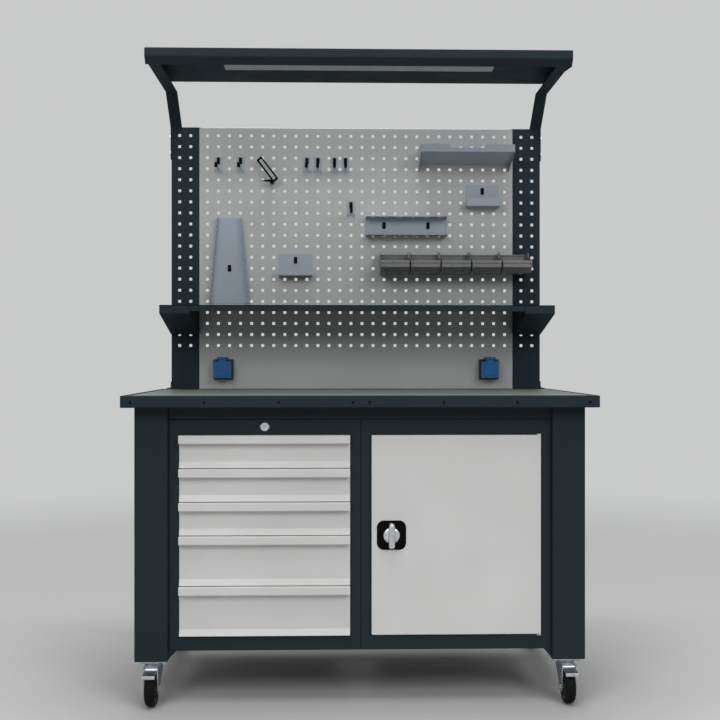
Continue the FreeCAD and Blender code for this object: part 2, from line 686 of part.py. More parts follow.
# Lock: a barrel with a collar in the drawer cabinet's head rail, and a plug with a cam that turns in it.
def build_lock():
    collar_face = f"{CABINET_FACE} - lock_collar_thick"
    barrel_end = f"{CABINET_FACE} + lock_length"
    collar = faceted(
        "lock_ring", "y", (LOCK_X, collar_face, LOCK_Z), "lock_collar", "lock_collar_thick", RING_SIDES,
    )
    barrel = faceted(
        "lock_tube", "y", (LOCK_X, CABINET_FACE, LOCK_Z), "lock_barrel", "lock_length", HUB_SIDES,
    )
    bore_start = (LOCK_X, f"{collar_face} - overcut", LOCK_Z)
    bore_corner = around("plug_radius + turn_gap", RING_SIDES)
    bore_long = "lock_collar_thick + lock_length + 2 * overcut"
    bore = faceted("lock_bore", "y", bore_start, bore_corner, bore_long, RING_SIDES)
    node("drawer_lock_body", cut("lock_body", join("lock_case", collar, barrel), bore))

    plug_face = f"{collar_face} + plug_recess"
    plug = rod(
        "lock_core", "y", (LOCK_X, plug_face, LOCK_Z),
        "plug_radius", "lock_collar_thick - plug_recess + lock_length + slide_gap",
    )
    slot = block(
        "lock_slot", centred(LOCK_X, "key_slot"), (f"{plug_face} - overcut", f"{plug_face} + key_slot_deep"),
        centred(LOCK_Z, "key_slot_long"),
    )
    cam = block(
        "lock_cam", centred(LOCK_X, "cam_width"),
        (f"{barrel_end} + slide_gap", f"{barrel_end} + slide_gap + cam_sheet"),
        (f"{LOCK_Z} - cam_width / 2", f"{LOCK_Z} + cam_reach"),
    )
    node("drawer_lock_plug", join("lock_turn", cut("lock_plug", plug, slot), cam))


# Door: a folded pan that turns on two pins at its right edge; the handle's spindle carries the latch.
DOOR_FACE = f"({CABINET_FACE} - door_proud)"
DOOR_LEFT = f"({OPENING_IN} + front_gap)"
DOOR_RIGHT = f"({OPENING_OUT} - front_gap)"
HINGE_X = f"({OPENING_OUT} - front_gap - hinge_inset)"
HINGE_Y = f"({CABINET_FACE} - door_proud + hinge_inset)"
HANDLE_X = f"({OPENING_IN} + front_gap + handle_inset)"
LATCH_FACE = f"({DOOR_FACE} + door_thick + slide_gap)"


def build_door_cabinet():
    latch_slot = block(
        "latch_slot",
        (f"{OPENING_IN} - cabinet_sheet - overcut", f"{OPENING_IN} + overcut"),
        (f"{LATCH_FACE} - latch_sheet", f"{LATCH_FACE} + 2 * latch_sheet"),
        ("handle_height - latch_width", "handle_height + latch_length"),
    )
    node("door_cabinet", cut("latch_wall", build_cabinet("door_cabinet", "right"), latch_slot))
    shelf_y = (f"{CABINET_FACE} + inner_shelf_setback", f"{CABINET_BACK} - cabinet_sheet")
    shelf_z = ("inner_shelf - inner_shelf_fold", "inner_shelf")
    shelf = cut(
        "inner_shelf",
        block("inner_shelf_pan", (OPENING_IN, OPENING_OUT), shelf_y, shelf_z),
        block(
            "inner_shelf_space",
            (f"{OPENING_IN} + cabinet_sheet", f"{OPENING_OUT} - cabinet_sheet"),
            (f"{shelf_y[0]} + cabinet_sheet", f"{shelf_y[1]} - cabinet_sheet"),
            (f"{shelf_z[0]} - overcut", f"{shelf_z[1]} - cabinet_sheet"),
        ),
    )
    node("cabinet_shelf", shelf)


def build_door():
    wall = "front_sheet"
    door_z = (f"{OPENING_FLOOR} + front_gap", f"{OPENING_TOP} - front_gap")
    door_y = (DOOR_FACE, f"{DOOR_FACE} + door_thick")
    pin_hole = rod(
        "hinge_holes", "z", (HINGE_X, HINGE_Y, f"{door_z[0]} - overcut"),
        "hinge_pin + turn_gap", f"{door_z[1]} - ({door_z[0]}) + 2 * overcut",
    )
    spindle_hole = faceted(
        "spindle_hole", "y", (HANDLE_X, f"{DOOR_FACE} - overcut", "handle_height"),
        around("spindle_radius + turn_gap", ROD_SIDES), f"{wall} + 2 * overcut", ROD_SIDES,
    )
    pan = cut(
        "door_pan",
        block("door_outer", (DOOR_LEFT, DOOR_RIGHT), door_y, door_z),
        block(
            "door_inner",
            (f"{DOOR_LEFT} + {wall}", f"{DOOR_RIGHT} - {wall}"),
            (f"{DOOR_FACE} + {wall}", f"{door_y[1]} + overcut"),
            (f"{door_z[0]} + {wall}", f"{door_z[1]} - {wall}"),
        ),
        pin_hole,
        spindle_hole,
    )
    node("door_panel", pan)

    hinges = []
    bracket_x = (f"{DOOR_RIGHT} - hinge_plate", DOOR_RIGHT)
    bracket_y = (DOOR_FACE, CABINET_FACE)
    door_top = f"({OPENING_TOP} - front_gap + slide_gap)"
    door_foot = f"({OPENING_FLOOR} + front_gap - slide_gap)"
    above = (door_top, f"{door_top} + hinge_plate_thick")
    below = (f"{door_foot} - hinge_plate_thick", door_foot)
    for place, (low, high) in (("upper", above), ("lower", below)):
        pin_start = f"{high} - hinge_pin_long" if place == "upper" else low
        foot = (HINGE_X, HINGE_Y, pin_start)
        pin = faceted(f"hinge_pin_{place}", "z", foot, "hinge_pin", "hinge_pin_long", ROD_SIDES)
        plate = block(f"hinge_plate_{place}", bracket_x, bracket_y, (low, high))
        hinges.append(join(f"hinge_{place}", plate, pin))
    node("door_hinges", group("hinges", *hinges))


def build_handle():
    plate_face = f"({DOOR_FACE} - handle_plate_thick)"
    square = rectangle(centred(HANDLE_X, "handle_plate"), centred("handle_height", "handle_plate"))
    plate = prism("handle_plate_body", "XZ", square, (plate_face, DOOR_FACE))
    doc.recompute()
    solid = plate.Tip
    corners = [
        f"Edge{i}" for i, edge in enumerate(solid.Shape.Edges, start=1)
        if abs(edge.tangentAt(edge.FirstParameter).y) > 0.99
    ]
    rounding = plate.newObject("PartDesign::Fillet", "handle_plate_corners")
    rounding.Base = (solid, corners)
    bind(rounding, "Radius", "handle_plate_round")
    plate.Tip = rounding
    hole = faceted(
        "handle_plate_hole", "y", (HANDLE_X, f"{plate_face} - overcut", "handle_height"),
        around("spindle_radius + turn_gap", ROD_SIDES), "handle_plate_thick + 2 * overcut", ROD_SIDES,
    )
    node("door_handle_plate", cut("handle_base", plate, hole))

    rose_back = f"({plate_face} - slide_gap)"
    rose_face = f"({plate_face} - slide_gap - rose_thick)"
    rose_middle = (HANDLE_X, rose_face, "handle_height")
    rose = faceted("handle_rose", "y", rose_middle, "rose_radius", "rose_thick", RING_SIDES)
    spindle = rod(
        "handle_spindle", "y", (HANDLE_X, rose_back, "handle_height"),
        "spindle_radius", f"{LATCH_FACE} - {rose_back}",
    )
    wing_tip = f"({rose_face} - wing_reach)"
    wing = prism("handle_wing", "YZ", [
        (rose_face, "handle_height - wing_length / 2"),
        (wing_tip, "handle_height - wing_length / 4"),
        (wing_tip, "handle_height + wing_length / 4"),
        (rose_face, "handle_height + wing_length / 2"),
        (rose_back, "handle_height + rose_radius / 2"),
        (rose_back, "handle_height - rose_radius / 2"),
    ], centred(HANDLE_X, "wing_width"))
    node("door_handle", join("handle_turn", rose, spindle, wing))
    tongue = block(
        "latch_tongue", centred(HANDLE_X, "latch_width"), (LATCH_FACE, f"{LATCH_FACE} + latch_sheet"),
        ("handle_height - latch_width / 2", "handle_height + latch_length"),
    )
    node("door_latch", tongue)


# Castors: a plate under each leg, a fork that swivels on a king pin, a wheel on its axle, and a brake
# pedal on the front pair. The front wheels trail forwards, the rear ones backwards.
def build_castors():
    plate_under = "(castor_height - castor_plate_thick)"
    axis_x, axis_y = minus(SWIVEL_X), minus(SWIVEL_Y)
    plate = cut(
        "castor_plate",
        block(
            "castor_plate_blank", centred(axis_x, "castor_plate"), centred(axis_y, "castor_plate_long"),
            (plate_under, "castor_height"),
        ),
        faceted(
            "king_hole", "z", (axis_x, axis_y, f"{plate_under} - overcut"),
            around("king_pin + turn_gap", ROD_SIDES), "castor_plate_thick + 2 * overcut", ROD_SIDES,
        ),
    )
    node("castor_plates", group("castor_plate_set", *four_corners("castor_plate", plate)))

    heads = []
    spread_x = "(castor_plate / 2 - castor_bolt_inset)"
    spread_y = "(castor_plate_long / 2 - castor_bolt_inset)"
    for i, (sign_x, sign_y) in enumerate((("-", "-"), ("+", "-"), ("-", "+"), ("+", "+"))):
        bolt_x = f"{axis_x} {sign_x} {spread_x}"
        bolt_y = f"{axis_y} {sign_y} {spread_y}"
        place = (bolt_x, bolt_y, f"{plate_under} - castor_bolt_high")
        head = faceted(f"castor_bolt_{i}", "z", place, "castor_bolt", "castor_bolt_high", NUT_SIDES)
        heads += four_corners(f"castor_bolt_{i}", head)
    node("castor_bolts", group("castor_bolt_set", *heads))

    head_top = f"({plate_under} - slide_gap)"
    crown_under = "(castor_height - castor_plate_thick - slide_gap - swivel_height - fork_sheet)"
    axle_y = f"({axis_y} - castor_trail)"
    pedal_y = f"({axis_y} - pedal_trail)"
    cheek = [
        (f"{axis_y} + swivel_radius", f"{crown_under} + fork_sheet"),
        (f"{pedal_y} - cheek_nose", f"{crown_under} + fork_sheet"),
        (f"{pedal_y} - cheek_nose", "pedal_height - cheek_nose"),
        (f"{axle_y} - cheek_half", "wheel_radius"),
        (f"{axle_y} - cheek_foot", "wheel_radius - cheek_drop"),
        (f"{axle_y} + cheek_foot", "wheel_radius - cheek_drop"),
        (f"{axle_y} + cheek_half", "wheel_radius"),
        (f"{axis_y} + swivel_radius", f"{crown_under} - cheek_half"),
    ]
    half = "(fork_inner / 2)"
    fork = prism("fork_cheeks", "YZ", cheek, centred(axis_x, "fork_inner + 2 * fork_sheet"))
    pocket(fork, "fork_gap", "YZ", rectangle(
        (f"{axle_y} - wheel_radius", f"{axis_y} + swivel_radius + overcut"), ("0", crown_under),
    ), centred(axis_x, "fork_inner"))
    pocket(fork, "fork_mouth", "YZ", rectangle(
        (f"{pedal_y} - 2 * cheek_nose", f"{pedal_y} + pedal_eye + overcut"),
        ("0", f"{crown_under} + fork_sheet + overcut"),
    ), centred(axis_x, "fork_inner"))
    across = f"({axis_x} - {half} - fork_sheet)"
    width = "(fork_inner + 2 * fork_sheet)"
    swivel_foot = (axis_x, axis_y, f"{head_top} - swivel_height")
    swivel = faceted("swivel_head", "z", swivel_foot, "swivel_radius", "swivel_height", RING_SIDES)
    king_foot = (axis_x, axis_y, f"{head_top} - king_root")
    king = rod("king_pin_body", "z", king_foot, "king_pin", "castor_plate_thick + king_root")
    axle = rod("axle_bolt", "x", (across, axle_y, "wheel_radius"), "axle_radius", width)
    ends = [
        faceted(name, "x", (start, axle_y, "wheel_radius"), "nut_radius", "nut_thick", NUT_SIDES)
        for name, start in (("axle_head", f"{across} - nut_thick"), ("axle_nut", f"{across} + {width}"))
    ]
    plain_fork = join("fork_frame", fork, swivel, king, axle, *ends)
    pin_start = (f"{axis_x} - {half}", pedal_y, "pedal_height")
    pin = faceted("pedal_pin_body", "x", pin_start, "pedal_pin", "fork_inner", ROD_SIDES)
    twins("castor_fork", join("fork_with_pin", plain_fork, pin), plain_fork)

    tread_start = (f"{axis_x} - wheel_width / 2", axle_y, "wheel_radius")
    tread = rod("wheel_tread", "x", tread_start, "wheel_radius", "wheel_width")
    hub_start = (f"{axis_x} - {half} + slide_gap", axle_y, "wheel_radius")
    hub = faceted("wheel_hub", "x", hub_start, "hub_radius", "fork_inner - 2 * slide_gap", HUB_SIDES)
    bore_start = (f"{axis_x} - {half}", axle_y, "wheel_radius")
    bore_corner = around("axle_radius + turn_gap", HUB_SIDES)
    wheel_bore = faceted("wheel_bore", "x", bore_start, bore_corner, "fork_inner", HUB_SIDES)
    wheel = cut("wheel", join("wheel_blank", tread, hub), wheel_bore)
    twins("castor_wheel", wheel, wheel)

    tip_y = f"({pedal_y} - pedal_reach)"
    tip_z = "(pedal_height - pedal_fall)"
    lever = [
        (pedal_y, "pedal_height + pedal_sheet / 2"), (tip_y, tip_z), (tip_y, f"{tip_z} - pedal_lip"),
        (f"{tip_y} + pedal_sheet", f"{tip_z} - pedal_lip"),
        (f"{tip_y} + pedal_sheet", f"{tip_z} - pedal_sheet"),
        (pedal_y, "pedal_height - pedal_sheet / 2"),
    ]
    lever_x = centred(axis_x, "fork_inner - 2 * slide_gap")
    eye_start = (lever_x[0], pedal_y, "pedal_height")
    eye = faceted("pedal_eye_body", "x", eye_start, "pedal_eye", "fork_inner - 2 * slide_gap", ROD_SIDES)
    bore = rod("pedal_bore", "x", eye_start, "pedal_pin + turn_gap", "fork_inner")
    pedal = cut("pedal", join("pedal_blank", prism("pedal_lever", "YZ", lever, lever_x), eye), bore)
    node("brake_pedal_left", pedal)
    node("brake_pedal_right", mirror("pedal_r", pedal, "x"))


def four_corners(name, piece):
    """A front left piece and its mirrored copies at the other corners."""
    right = mirror(f"{name}_fr", piece, "x")
    return [piece, right, mirror(f"{name}_rl", piece, "y"), mirror(f"{name}_rr", right, "y")]


def twins(label, front, rear):
    """The four corners' pieces, from the front left one and the one that stands behind it."""
    front_left, front_right, rear_left, rear_right = (f"{label}_{corner}" for corner in CORNERS)
    node(front_left, front)
    node(front_right, mirror(f"{label}_fr", front, "x"))
    behind = node(rear_left, mirror(f"{label}_rl", rear, "y"))
    node(rear_right, mirror(f"{label}_rr", behind, "x"))


# Uprights: perforated channels on the worktop, each held by a foot bracket.
def build_uprights():
    wall = "upright_sheet"
    outer, inner = minus(UPRIGHT_OUT), minus(UPRIGHT_IN)
    face, rear = PANEL_FACE, f"({PANEL_FACE} + upright_depth)"
    channel = [
        (outer, face), (inner, face), (inner, rear), (f"{inner} - {wall}", rear),
        (f"{inner} - {wall}", f"{face} + {wall}"), (f"{outer} + {wall}", f"{face} + {wall}"),
        (f"{outer} + {wall}", rear), (outer, rear),
    ]
    upright = prism("upright_fold", "XY", channel, ("top_height", UPRIGHT_TOP))
    first = f"(hole_edge - {UPRIGHT_OUT})"
    rows = PANEL_ROWS + LOWER_ROWS
    lowest = f"({HOLE_TOP} - {rows - 1} * {HOLE_STEP})"
    hole = pocket(upright, "upright_hole", "XZ", rectangle(
        centred(first, "hole_side"), centred(lowest, "hole_side"),
    ), (f"{face} - overcut", f"{face} + {wall} + overcut"))
    across = ("H_Axis", "hole_pitch", UPRIGHT_COLUMNS)
    pattern(upright, "upright_raster", hole, across, ("V_Axis", HOLE_STEP, rows))
    node("upright_left", upright)
    node("upright_right", mirror("upright_r", upright, "x"))

    leaf_x = f"({outer} - foot_sheet)"
    foot = prism("upright_foot", "XZ", [
        (outer, "top_height"), (outer, "top_height + foot_rise"), (leaf_x, "top_height + foot_rise"),
        (leaf_x, "top_height + foot_sheet"), (f"{outer} - foot_spread", "top_height + foot_sheet"),
        (f"{outer} - foot_spread", "top_height"),
    ], (f"{face} + {wall}", rear))
    node("upright_feet", group("feet", foot, mirror("upright_foot_r", foot, "x")))


# Panels: folded sheets between the uprights. The upper one is perforated all over; the lower one has a few
# rows of holes over a plain field with two sockets.
def build_panels():
    first = f"((1 - {PANEL_COLUMNS}) / 2 * hole_pitch)"
    lowest_upper = f"({HOLE_TOP} - {PANEL_ROWS - 1} * {HOLE_STEP})"
    lowest = f"({HOLE_TOP} - {PANEL_ROWS + LOWER_ROWS - 1} * {HOLE_STEP})"
    across = ("H_Axis", HOLE_STEP, f"floor(({PANEL_COLUMNS} + 1) / 2)")
    for label, z, bottom, rows in (
        ("tool_panel", (PANEL_SEAM, UPRIGHT_TOP), lowest_upper, PANEL_ROWS),
        ("socket_panel", ("top_height", PANEL_SEAM), lowest, LOWER_ROWS),
    ):
        wall = "panel_sheet"
        back = f"{PANEL_FACE} + panel_fold"
        panel = prism(f"{label}_pan", "XZ", rectangle(both(UPRIGHT_IN), z), (PANEL_FACE, back))
        pocket(panel, f"{label}_fold", "XZ", rectangle(
            both(f"{UPRIGHT_IN} - {wall}"), (f"{z[0]} + {wall}", f"{z[1]} - {wall}"),
        ), (f"{PANEL_FACE} + {wall}", f"{back} + overcut"))
        hole = pocket(panel, f"{label}_hole", "XZ", rectangle(
            centred(first, "hole_side"), centred(bottom, "hole_side"),
        ), (f"{PANEL_FACE} - overcut", f"{PANEL_FACE} + {wall} + overcut"))
        pattern(panel, f"{label}_raster", hole, across, ("V_Axis", HOLE_STEP, rows))
        node(label, panel)


def build_sockets():
    middle_x, middle_z = f"(socket_inset - {UPRIGHT_IN})", "(top_height + socket_height)"
    base_face = f"({PANEL_FACE} - socket_thick)"
    barrel_face = f"({base_face} - barrel_reach)"
    base_x, base_z = centred(middle_x, "socket_side"), centred(middle_z, "socket_side")
    base = block("socket_base", base_x, (base_face, PANEL_FACE), base_z)
    barrel_x, barrel_z = centred(middle_x, "barrel_side"), centred(middle_z, "barrel_side")
    barrel = block("socket_barrel", barrel_x, (barrel_face, base_face), barrel_z)
    well_start = (middle_x, f"{barrel_face} - overcut", middle_z)
    well_corner = around("well_radius", RING_SIDES)
    well = faceted("socket_well", "y", well_start, well_corner, "well_depth + overcut", RING_SIDES)
    axis_y = f"({barrel_face} - lid_offset)"
    axis_z = f"({middle_z} + lid_rise)"
    ear_z = (f"{middle_z} + barrel_side / 2", f"{axis_z} + lid_eye")
    ear_y = (f"{axis_y} - lid_eye", base_face)
    gap = "(lid_neck / 2 + slide_gap)"
    ears = [
        block("ear_left", (f"{middle_x} - {gap} - lid_ear", f"{middle_x} - {gap}"), ear_y, ear_z),
        block("ear_right", (f"{middle_x} + {gap}", f"{middle_x} + {gap} + lid_ear"), ear_y, ear_z),
    ]
    pin_start = (f"{middle_x} - {gap} - lid_ear", axis_y, axis_z)
    pin = faceted("lid_pin_body", "x", pin_start, "lid_pin", f"2 * ({gap} + lid_ear)", ROD_SIDES)
    body = join("socket_case", cut("socket_shell", join("socket_blank", base, barrel), well), *ears, pin)
    node("socket_bodies", group("sockets", body, mirror("socket_r", body, "x")))

    lid_y = (f"{barrel_face} - slide_gap - lid_thick", f"{barrel_face} - slide_gap")
    ear_corner = "sqrt(lid_eye ^ 2 + (lid_rise - barrel_side / 2) ^ 2)"
    lid_top = f"({axis_z} - {ear_corner} - slide_gap)"
    plate = block("lid_plate", centred(middle_x, "lid_side"), lid_y, (f"{middle_z} - lid_side / 2", lid_top))
    neck = block("lid_neck_body", centred(middle_x, "lid_neck"), lid_y, (lid_top, axis_z))
    neck_end = f"{middle_x} - lid_neck / 2"
    eye = faceted("lid_eye_body", "x", (neck_end, axis_y, axis_z), "lid_eye", "lid_neck", ROD_SIDES)
    bore_start = (f"{neck_end} - overcut", axis_y, axis_z)
    bore = rod("lid_bore", "x", bore_start, "lid_pin + turn_gap", "lid_neck + 2 * overcut")
    lid = cut("lid", join("lid_blank", plate, neck, eye), bore)
    node("socket_lid_left", lid)
    node("socket_lid_right", mirror("lid_r", lid, "x"))


# Shelf: a folded sheet on two end brackets that stand against the uprights.
def build_shelf():
    wall = "shelf_sheet"
    top = "(top_height + shelf_height)"
    under = f"({top} - {wall})"
    front = f"({PANEL_FACE} - shelf_depth)"
    end = f"({UPRIGHT_OUT} + shelf_overhang)"
    plate = block("shelf_plate", both(end), (front, PANEL_FACE), (under, top))
    lip = block("shelf_front", both(UPRIGHT_IN), (front, f"{front} + {wall}"), (f"{top} - shelf_lip", under))
    node("shelf", join("shelf_fold", plate, lip))

    side = [
        (front, under), (front, f"{under} - bracket_front"),
        (PANEL_FACE, f"{under} - bracket_rear"), (PANEL_FACE, under),
    ]
    space = [
        (f"{front} + {wall}", f"{under} + overcut"),
        (f"{front} + {wall}", f"{under} - bracket_front + {wall}"),
        (f"{PANEL_FACE} - {wall}", f"{under} - bracket_rear + {wall}"),
        (f"{PANEL_FACE} - {wall}", f"{under} + overcut"),
    ]
    span = flip((UPRIGHT_IN, end))
    bracket = prism("bracket", "YZ", side, span)
    pocket(bracket, "bracket_fold", "YZ", space, (f"{span[0]} + {wall}", f"{span[1]} - {wall}"))
    node("shelf_brackets", group("brackets", bracket, mirror("bracket_r", bracket, "x")))


# Canopy: a folded sheet with a fascia, carried by two bent arms, with a lamp under it.
def build_canopy():
    wall = "canopy_sheet"
    under = f"({CANOPY_TOP} - {wall})"
    front = f"({PANEL_FACE} - canopy_front)"
    rear = f"({PANEL_FACE} - canopy_rear)"
    fascia = f"({CANOPY_TOP} - canopy_fascia)"
    fold = [
        (rear, CANOPY_TOP), (front, CANOPY_TOP), (front, fascia),
        (f"{front} + canopy_return", f"{fascia} - canopy_return"),
        (f"{front} + canopy_return + {wall}", f"{fascia} - canopy_return + {wall}"),
        (f"{front} + {wall}", f"{fascia} + {wall} / 2"), (f"{front} + {wall}", under), (rear, under),
    ]
    roof = prism("canopy_fold", "YZ", fold, both(CANOPY_END))
    cheek = [(front, CANOPY_TOP), (rear, CANOPY_TOP), (rear, fascia), (front, fascia)]
    pad(roof, "canopy_cheek_left", "YZ", cheek, (minus(CANOPY_END), f"{wall} - {CANOPY_END}"))
    pad(roof, "canopy_cheek_right", "YZ", cheek, (f"{CANOPY_END} - {wall}", CANOPY_END))
    node("canopy", roof)

    side_out = f"({CANOPY_END} - {wall})"
    low = f"({under} - arm_depth)"
    back = f"({PANEL_FACE} + upright_depth)"
    nose = f"({front} + canopy_return + {wall})"
    plate = [
        (nose, under), (f"{rear} + arm_depth / 2", under), (back, f"{UPRIGHT_TOP} + arm_depth / 2"),
        (back, f"{UPRIGHT_TOP} - arm_overlap"), (PANEL_FACE, f"{UPRIGHT_TOP} - arm_overlap"),
        (PANEL_FACE, UPRIGHT_TOP), (rear, low), (nose, low),
    ]
    flange = [
        (nose, low), (rear, low), (PANEL_FACE, UPRIGHT_TOP), (f"{PANEL_FACE} + arm_sheet", UPRIGHT_TOP),
        (f"{rear} + arm_sheet / 2", f"{low} + arm_sheet"), (nose, f"{low} + arm_sheet"),
    ]
    arm = prism("arm_side", "YZ", plate, flip((UPRIGHT_OUT, side_out)))
    pad(arm, "arm_edge", "YZ", flange, flip((f"{UPRIGHT_OUT} - arm_flange", UPRIGHT_OUT)))
    node("canopy_arms", group("arms", arm, mirror("arm_r", arm, "x")))

    lamp_front = f"({front} + lamp_setback)"
    lamp_rear = f"({front} + lamp_setback + lamp_width)"
    lamp_under = f"({under} - lamp_high)"
    housing = [
        (f"{lamp_front} + lamp_slope", under), (lamp_front, lamp_under), (lamp_rear, lamp_under),
        (f"{lamp_rear} - lamp_slope", under),
    ]
    node("lamp_housing", prism("lamp_case", "YZ", housing, both(LAMP_END)))
    glow = [
        (lamp_front, lamp_under), (f"{lamp_front} + lamp_slope", f"{lamp_under} - diffuser_thick"),
        (f"{lamp_rear} - lamp_slope", f"{lamp_under} - diffuser_thick"), (lamp_rear, lamp_under),
    ]
    node("lamp_diffuser", prism("lamp_glow", "YZ", glow, both(LAMP_END)))


# Fixtures on the tool panel.
def build_tray():
    wall = "tray_sheet"
    floor = "(top_height + tray_height)"
    front = f"({PANEL_FACE} - tray_depth)"
    span = centred("tray_middle", "tray_width")
    rim = f"({floor} + tray_lip)"
    side = [(front, floor), (front, rim), (PANEL_FACE, rim), (PANEL_FACE, f"{floor} - tray_brace")]
    left = prism("tray_side_left", "YZ", side, (span[0], f"{span[0]} + {wall}"))
    right = prism("tray_side_right", "YZ", side, (f"{span[1]} - {wall}", span[1]))
    base = prism("tray_base", "YZ", [
        (front, floor), (PANEL_FACE, f"{floor} - tray_fall"),
        (PANEL_FACE, f"{floor} - tray_fall + {wall}"), (front, f"{floor} + {wall}"),
    ], span)
    dip = centred("tray_middle", "tray_dip_width")
    lip = prism("tray_front", "XZ", [
        (span[0], floor), (span[1], floor), (span[1], rim), (dip[1], rim), (dip[1], f"{rim} - tray_dip"),
        (dip[0], f"{rim} - tray_dip"), (dip[0], rim), (span[0], rim),
    ], (front, f"{front} + {wall}"))
    node("tray", join("tray_fold", base, lip, left, right))


def build_bins():
    floor = "(top_height + bin_height)"
    back = f"({PANEL_FACE} - bin_rail)"
    front = f"({back} - bin_depth)"
    rear_top = f"({floor} + bin_high)"
    side = [
        (back, floor), (back, rear_top), (f"{front} + bin_depth / 2", rear_top),
        (front, f"{floor} + bin_front"), (front, f"{floor} + bin_toe"), (f"{front} + bin_depth / 4", floor),
    ]
    inner_front = f"({front} + bin_wall)"
    space = [
        (f"{back} - bin_wall", f"{floor} + bin_wall"), (f"{back} - bin_wall", f"{rear_top} + overcut"),
        (inner_front, f"{rear_top} + overcut"), (inner_front, f"{floor} + bin_toe + bin_wall / 2"),
        (f"{front} + bin_depth / 4 + bin_wall / 2", f"{floor} + bin_wall"),
    ]
    bins = []
    for i in range(int(number("bin_count"))):
        start = f"(bin_start + {i} * bin_pitch)"
        span = (start, f"{start} + bin_width")
        shell = prism(f"bin_{i}", "YZ", side, span)
        pocket(shell, f"bin_space_{i}", "YZ", space, (f"{span[0]} + bin_wall", f"{span[1]} - bin_wall"))
        bins.append(shell)
    node("bins", group("bin_set", *bins))
    rail = block(
        "bin_rail_bar", ("bin_start", "bin_start + (bin_count - 1) * bin_pitch + bin_width"),
        (back, PANEL_FACE), (f"{rear_top} - bin_rail_high", rear_top),
    )
    node("bin_rail", rail)


def holed_strip(body, name, plane, u_first, v_span, side, count, pitch, span):
    """A row of square holes through a folded sheet."""
    hole = pocket(body, name, plane, rectangle(centred(u_first, side), v_span), span)
    return pattern(body, f"{name}_row", hole, ("H_Axis", pitch, count))


def build_racks():
    wall = "rack_sheet"
    span = centred("hole_rack_middle", "hole_rack_width")
    foot = "(top_height + hole_rack_height)"
    top = f"({foot} + hole_rack_high)"
    front = f"({PANEL_FACE} - hole_rack_depth)"
    rack = prism("hole_rack_fold", "YZ", [
        (PANEL_FACE, foot), (PANEL_FACE, top), (front, top), (front, f"{top} - {wall}"),
        (f"{PANEL_FACE} - {wall}", f"{top} - {wall}"), (f"{PANEL_FACE} - {wall}", f"{foot} + {wall}"),
        (front, f"{foot} + {wall}"), (front, foot),
    ], span)
    pitch = "(hole_rack_width / hole_rack_count)"
    middle_y = f"({front} + hole_rack_hole)"
    holed_strip(
        rack, "hole_rack_hole_cut", "XY", f"{span[0]} + {pitch} / 2", centred(middle_y, "hole_rack_hole"),
        "hole_rack_hole", "hole_rack_count", pitch, (f"{foot} - overcut", f"{top} + overcut"),
    )
    node("hole_rack", rack)

    racks = []
    for place, middle, lift in (
        ("right", "bit_rack_right", "bit_rack_right_up"),
        ("left", minus("bit_rack_left"), "bit_rack_left_up"),
    ):
        base = f"(top_height + {lift})"
        lip = f"({PANEL_FACE} - bit_rack_depth)"
        reach = centred(middle, "bit_rack_width")
        fold = prism(f"bit_rack_{place}", "YZ", [
            (PANEL_FACE, base), (PANEL_FACE, f"{base} + bit_rack_back"),
            (f"{PANEL_FACE} - {wall}", f"{base} + bit_rack_back"),
            (f"{PANEL_FACE} - {wall}", f"{base} + {wall}"),
            (f"{lip} + {wall}", f"{base} + {wall}"), (f"{lip} + {wall}", f"{base} + bit_rack_lip"),
            (lip, f"{base} + bit_rack_lip"), (lip, base),
        ], reach)
        step = "(bit_rack_width / bit_rack_count)"
        holed_strip(
            fold, f"bit_rack_{place}_hole", "XY", f"{reach[0]} + {step} / 2",
            centred(f"{PANEL_FACE} - bit_rack_depth / 2", "bit_rack_hole"),
            "bit_rack_hole", "bit_rack_count", step, (f"{base} - overcut", f"{base} + {wall} + overcut"),
        )
        racks.append(fold)
    node("bit_racks", group("bit_rack_pair", *racks))

    middle = minus("notched_middle")
    low = "(top_height + notched_height)"
    high = f"({low} + notched_high)"
    face = f"({PANEL_FACE} - notched_depth)"
    taper = [
        (f"{middle} - notched_foot / 2", low), (f"{middle} + notched_foot / 2", low),
        (f"{middle} + notched_top / 2", high), (f"{middle} - notched_top / 2", high),
    ]
    inside = [
        (f"{middle} - notched_foot / 2 + {wall}", f"{low} - overcut"),
        (f"{middle} + notched_foot / 2 - {wall}", f"{low} - overcut"),
        (f"{middle} + notched_top / 2 - {wall}", f"{high} + overcut"),
        (f"{middle} - notched_top / 2 + {wall}", f"{high} + overcut"),
    ]
    notched = prism("notched_rack_fold", "XZ", taper, (face, PANEL_FACE))
    pocket(notched, "notched_rack_inside", "XZ", inside, (f"{face} - overcut", f"{PANEL_FACE} - {wall}"))
    notch_low = f"({low} + notch_margin)"
    notch = pocket(
        notched, "notched_rack_notch", "YZ",
        rectangle((f"{face} - overcut", f"{face} + notch_deep"), (notch_low, f"{notch_low} + notch_high")),
        (f"{middle} - notched_foot", f"{middle} + notched_foot"),
    )
    step = "((notched_high - 2 * notch_margin - notch_high) / (notch_count - 1))"
    pattern(notched, "notched_rack_notches", notch, ("V_Axis", step, "notch_count"))
    node("notched_rack", notched)


# Hooks: (column, row) of each rod on the hole raster, counted from the middle and from the top row.
HOOKS = ((-12.5, 3), (-10.5, 3), (-4.5, 3), (-3.5, 3), (-2, 3), (-1, 3), (-0.5, 7))


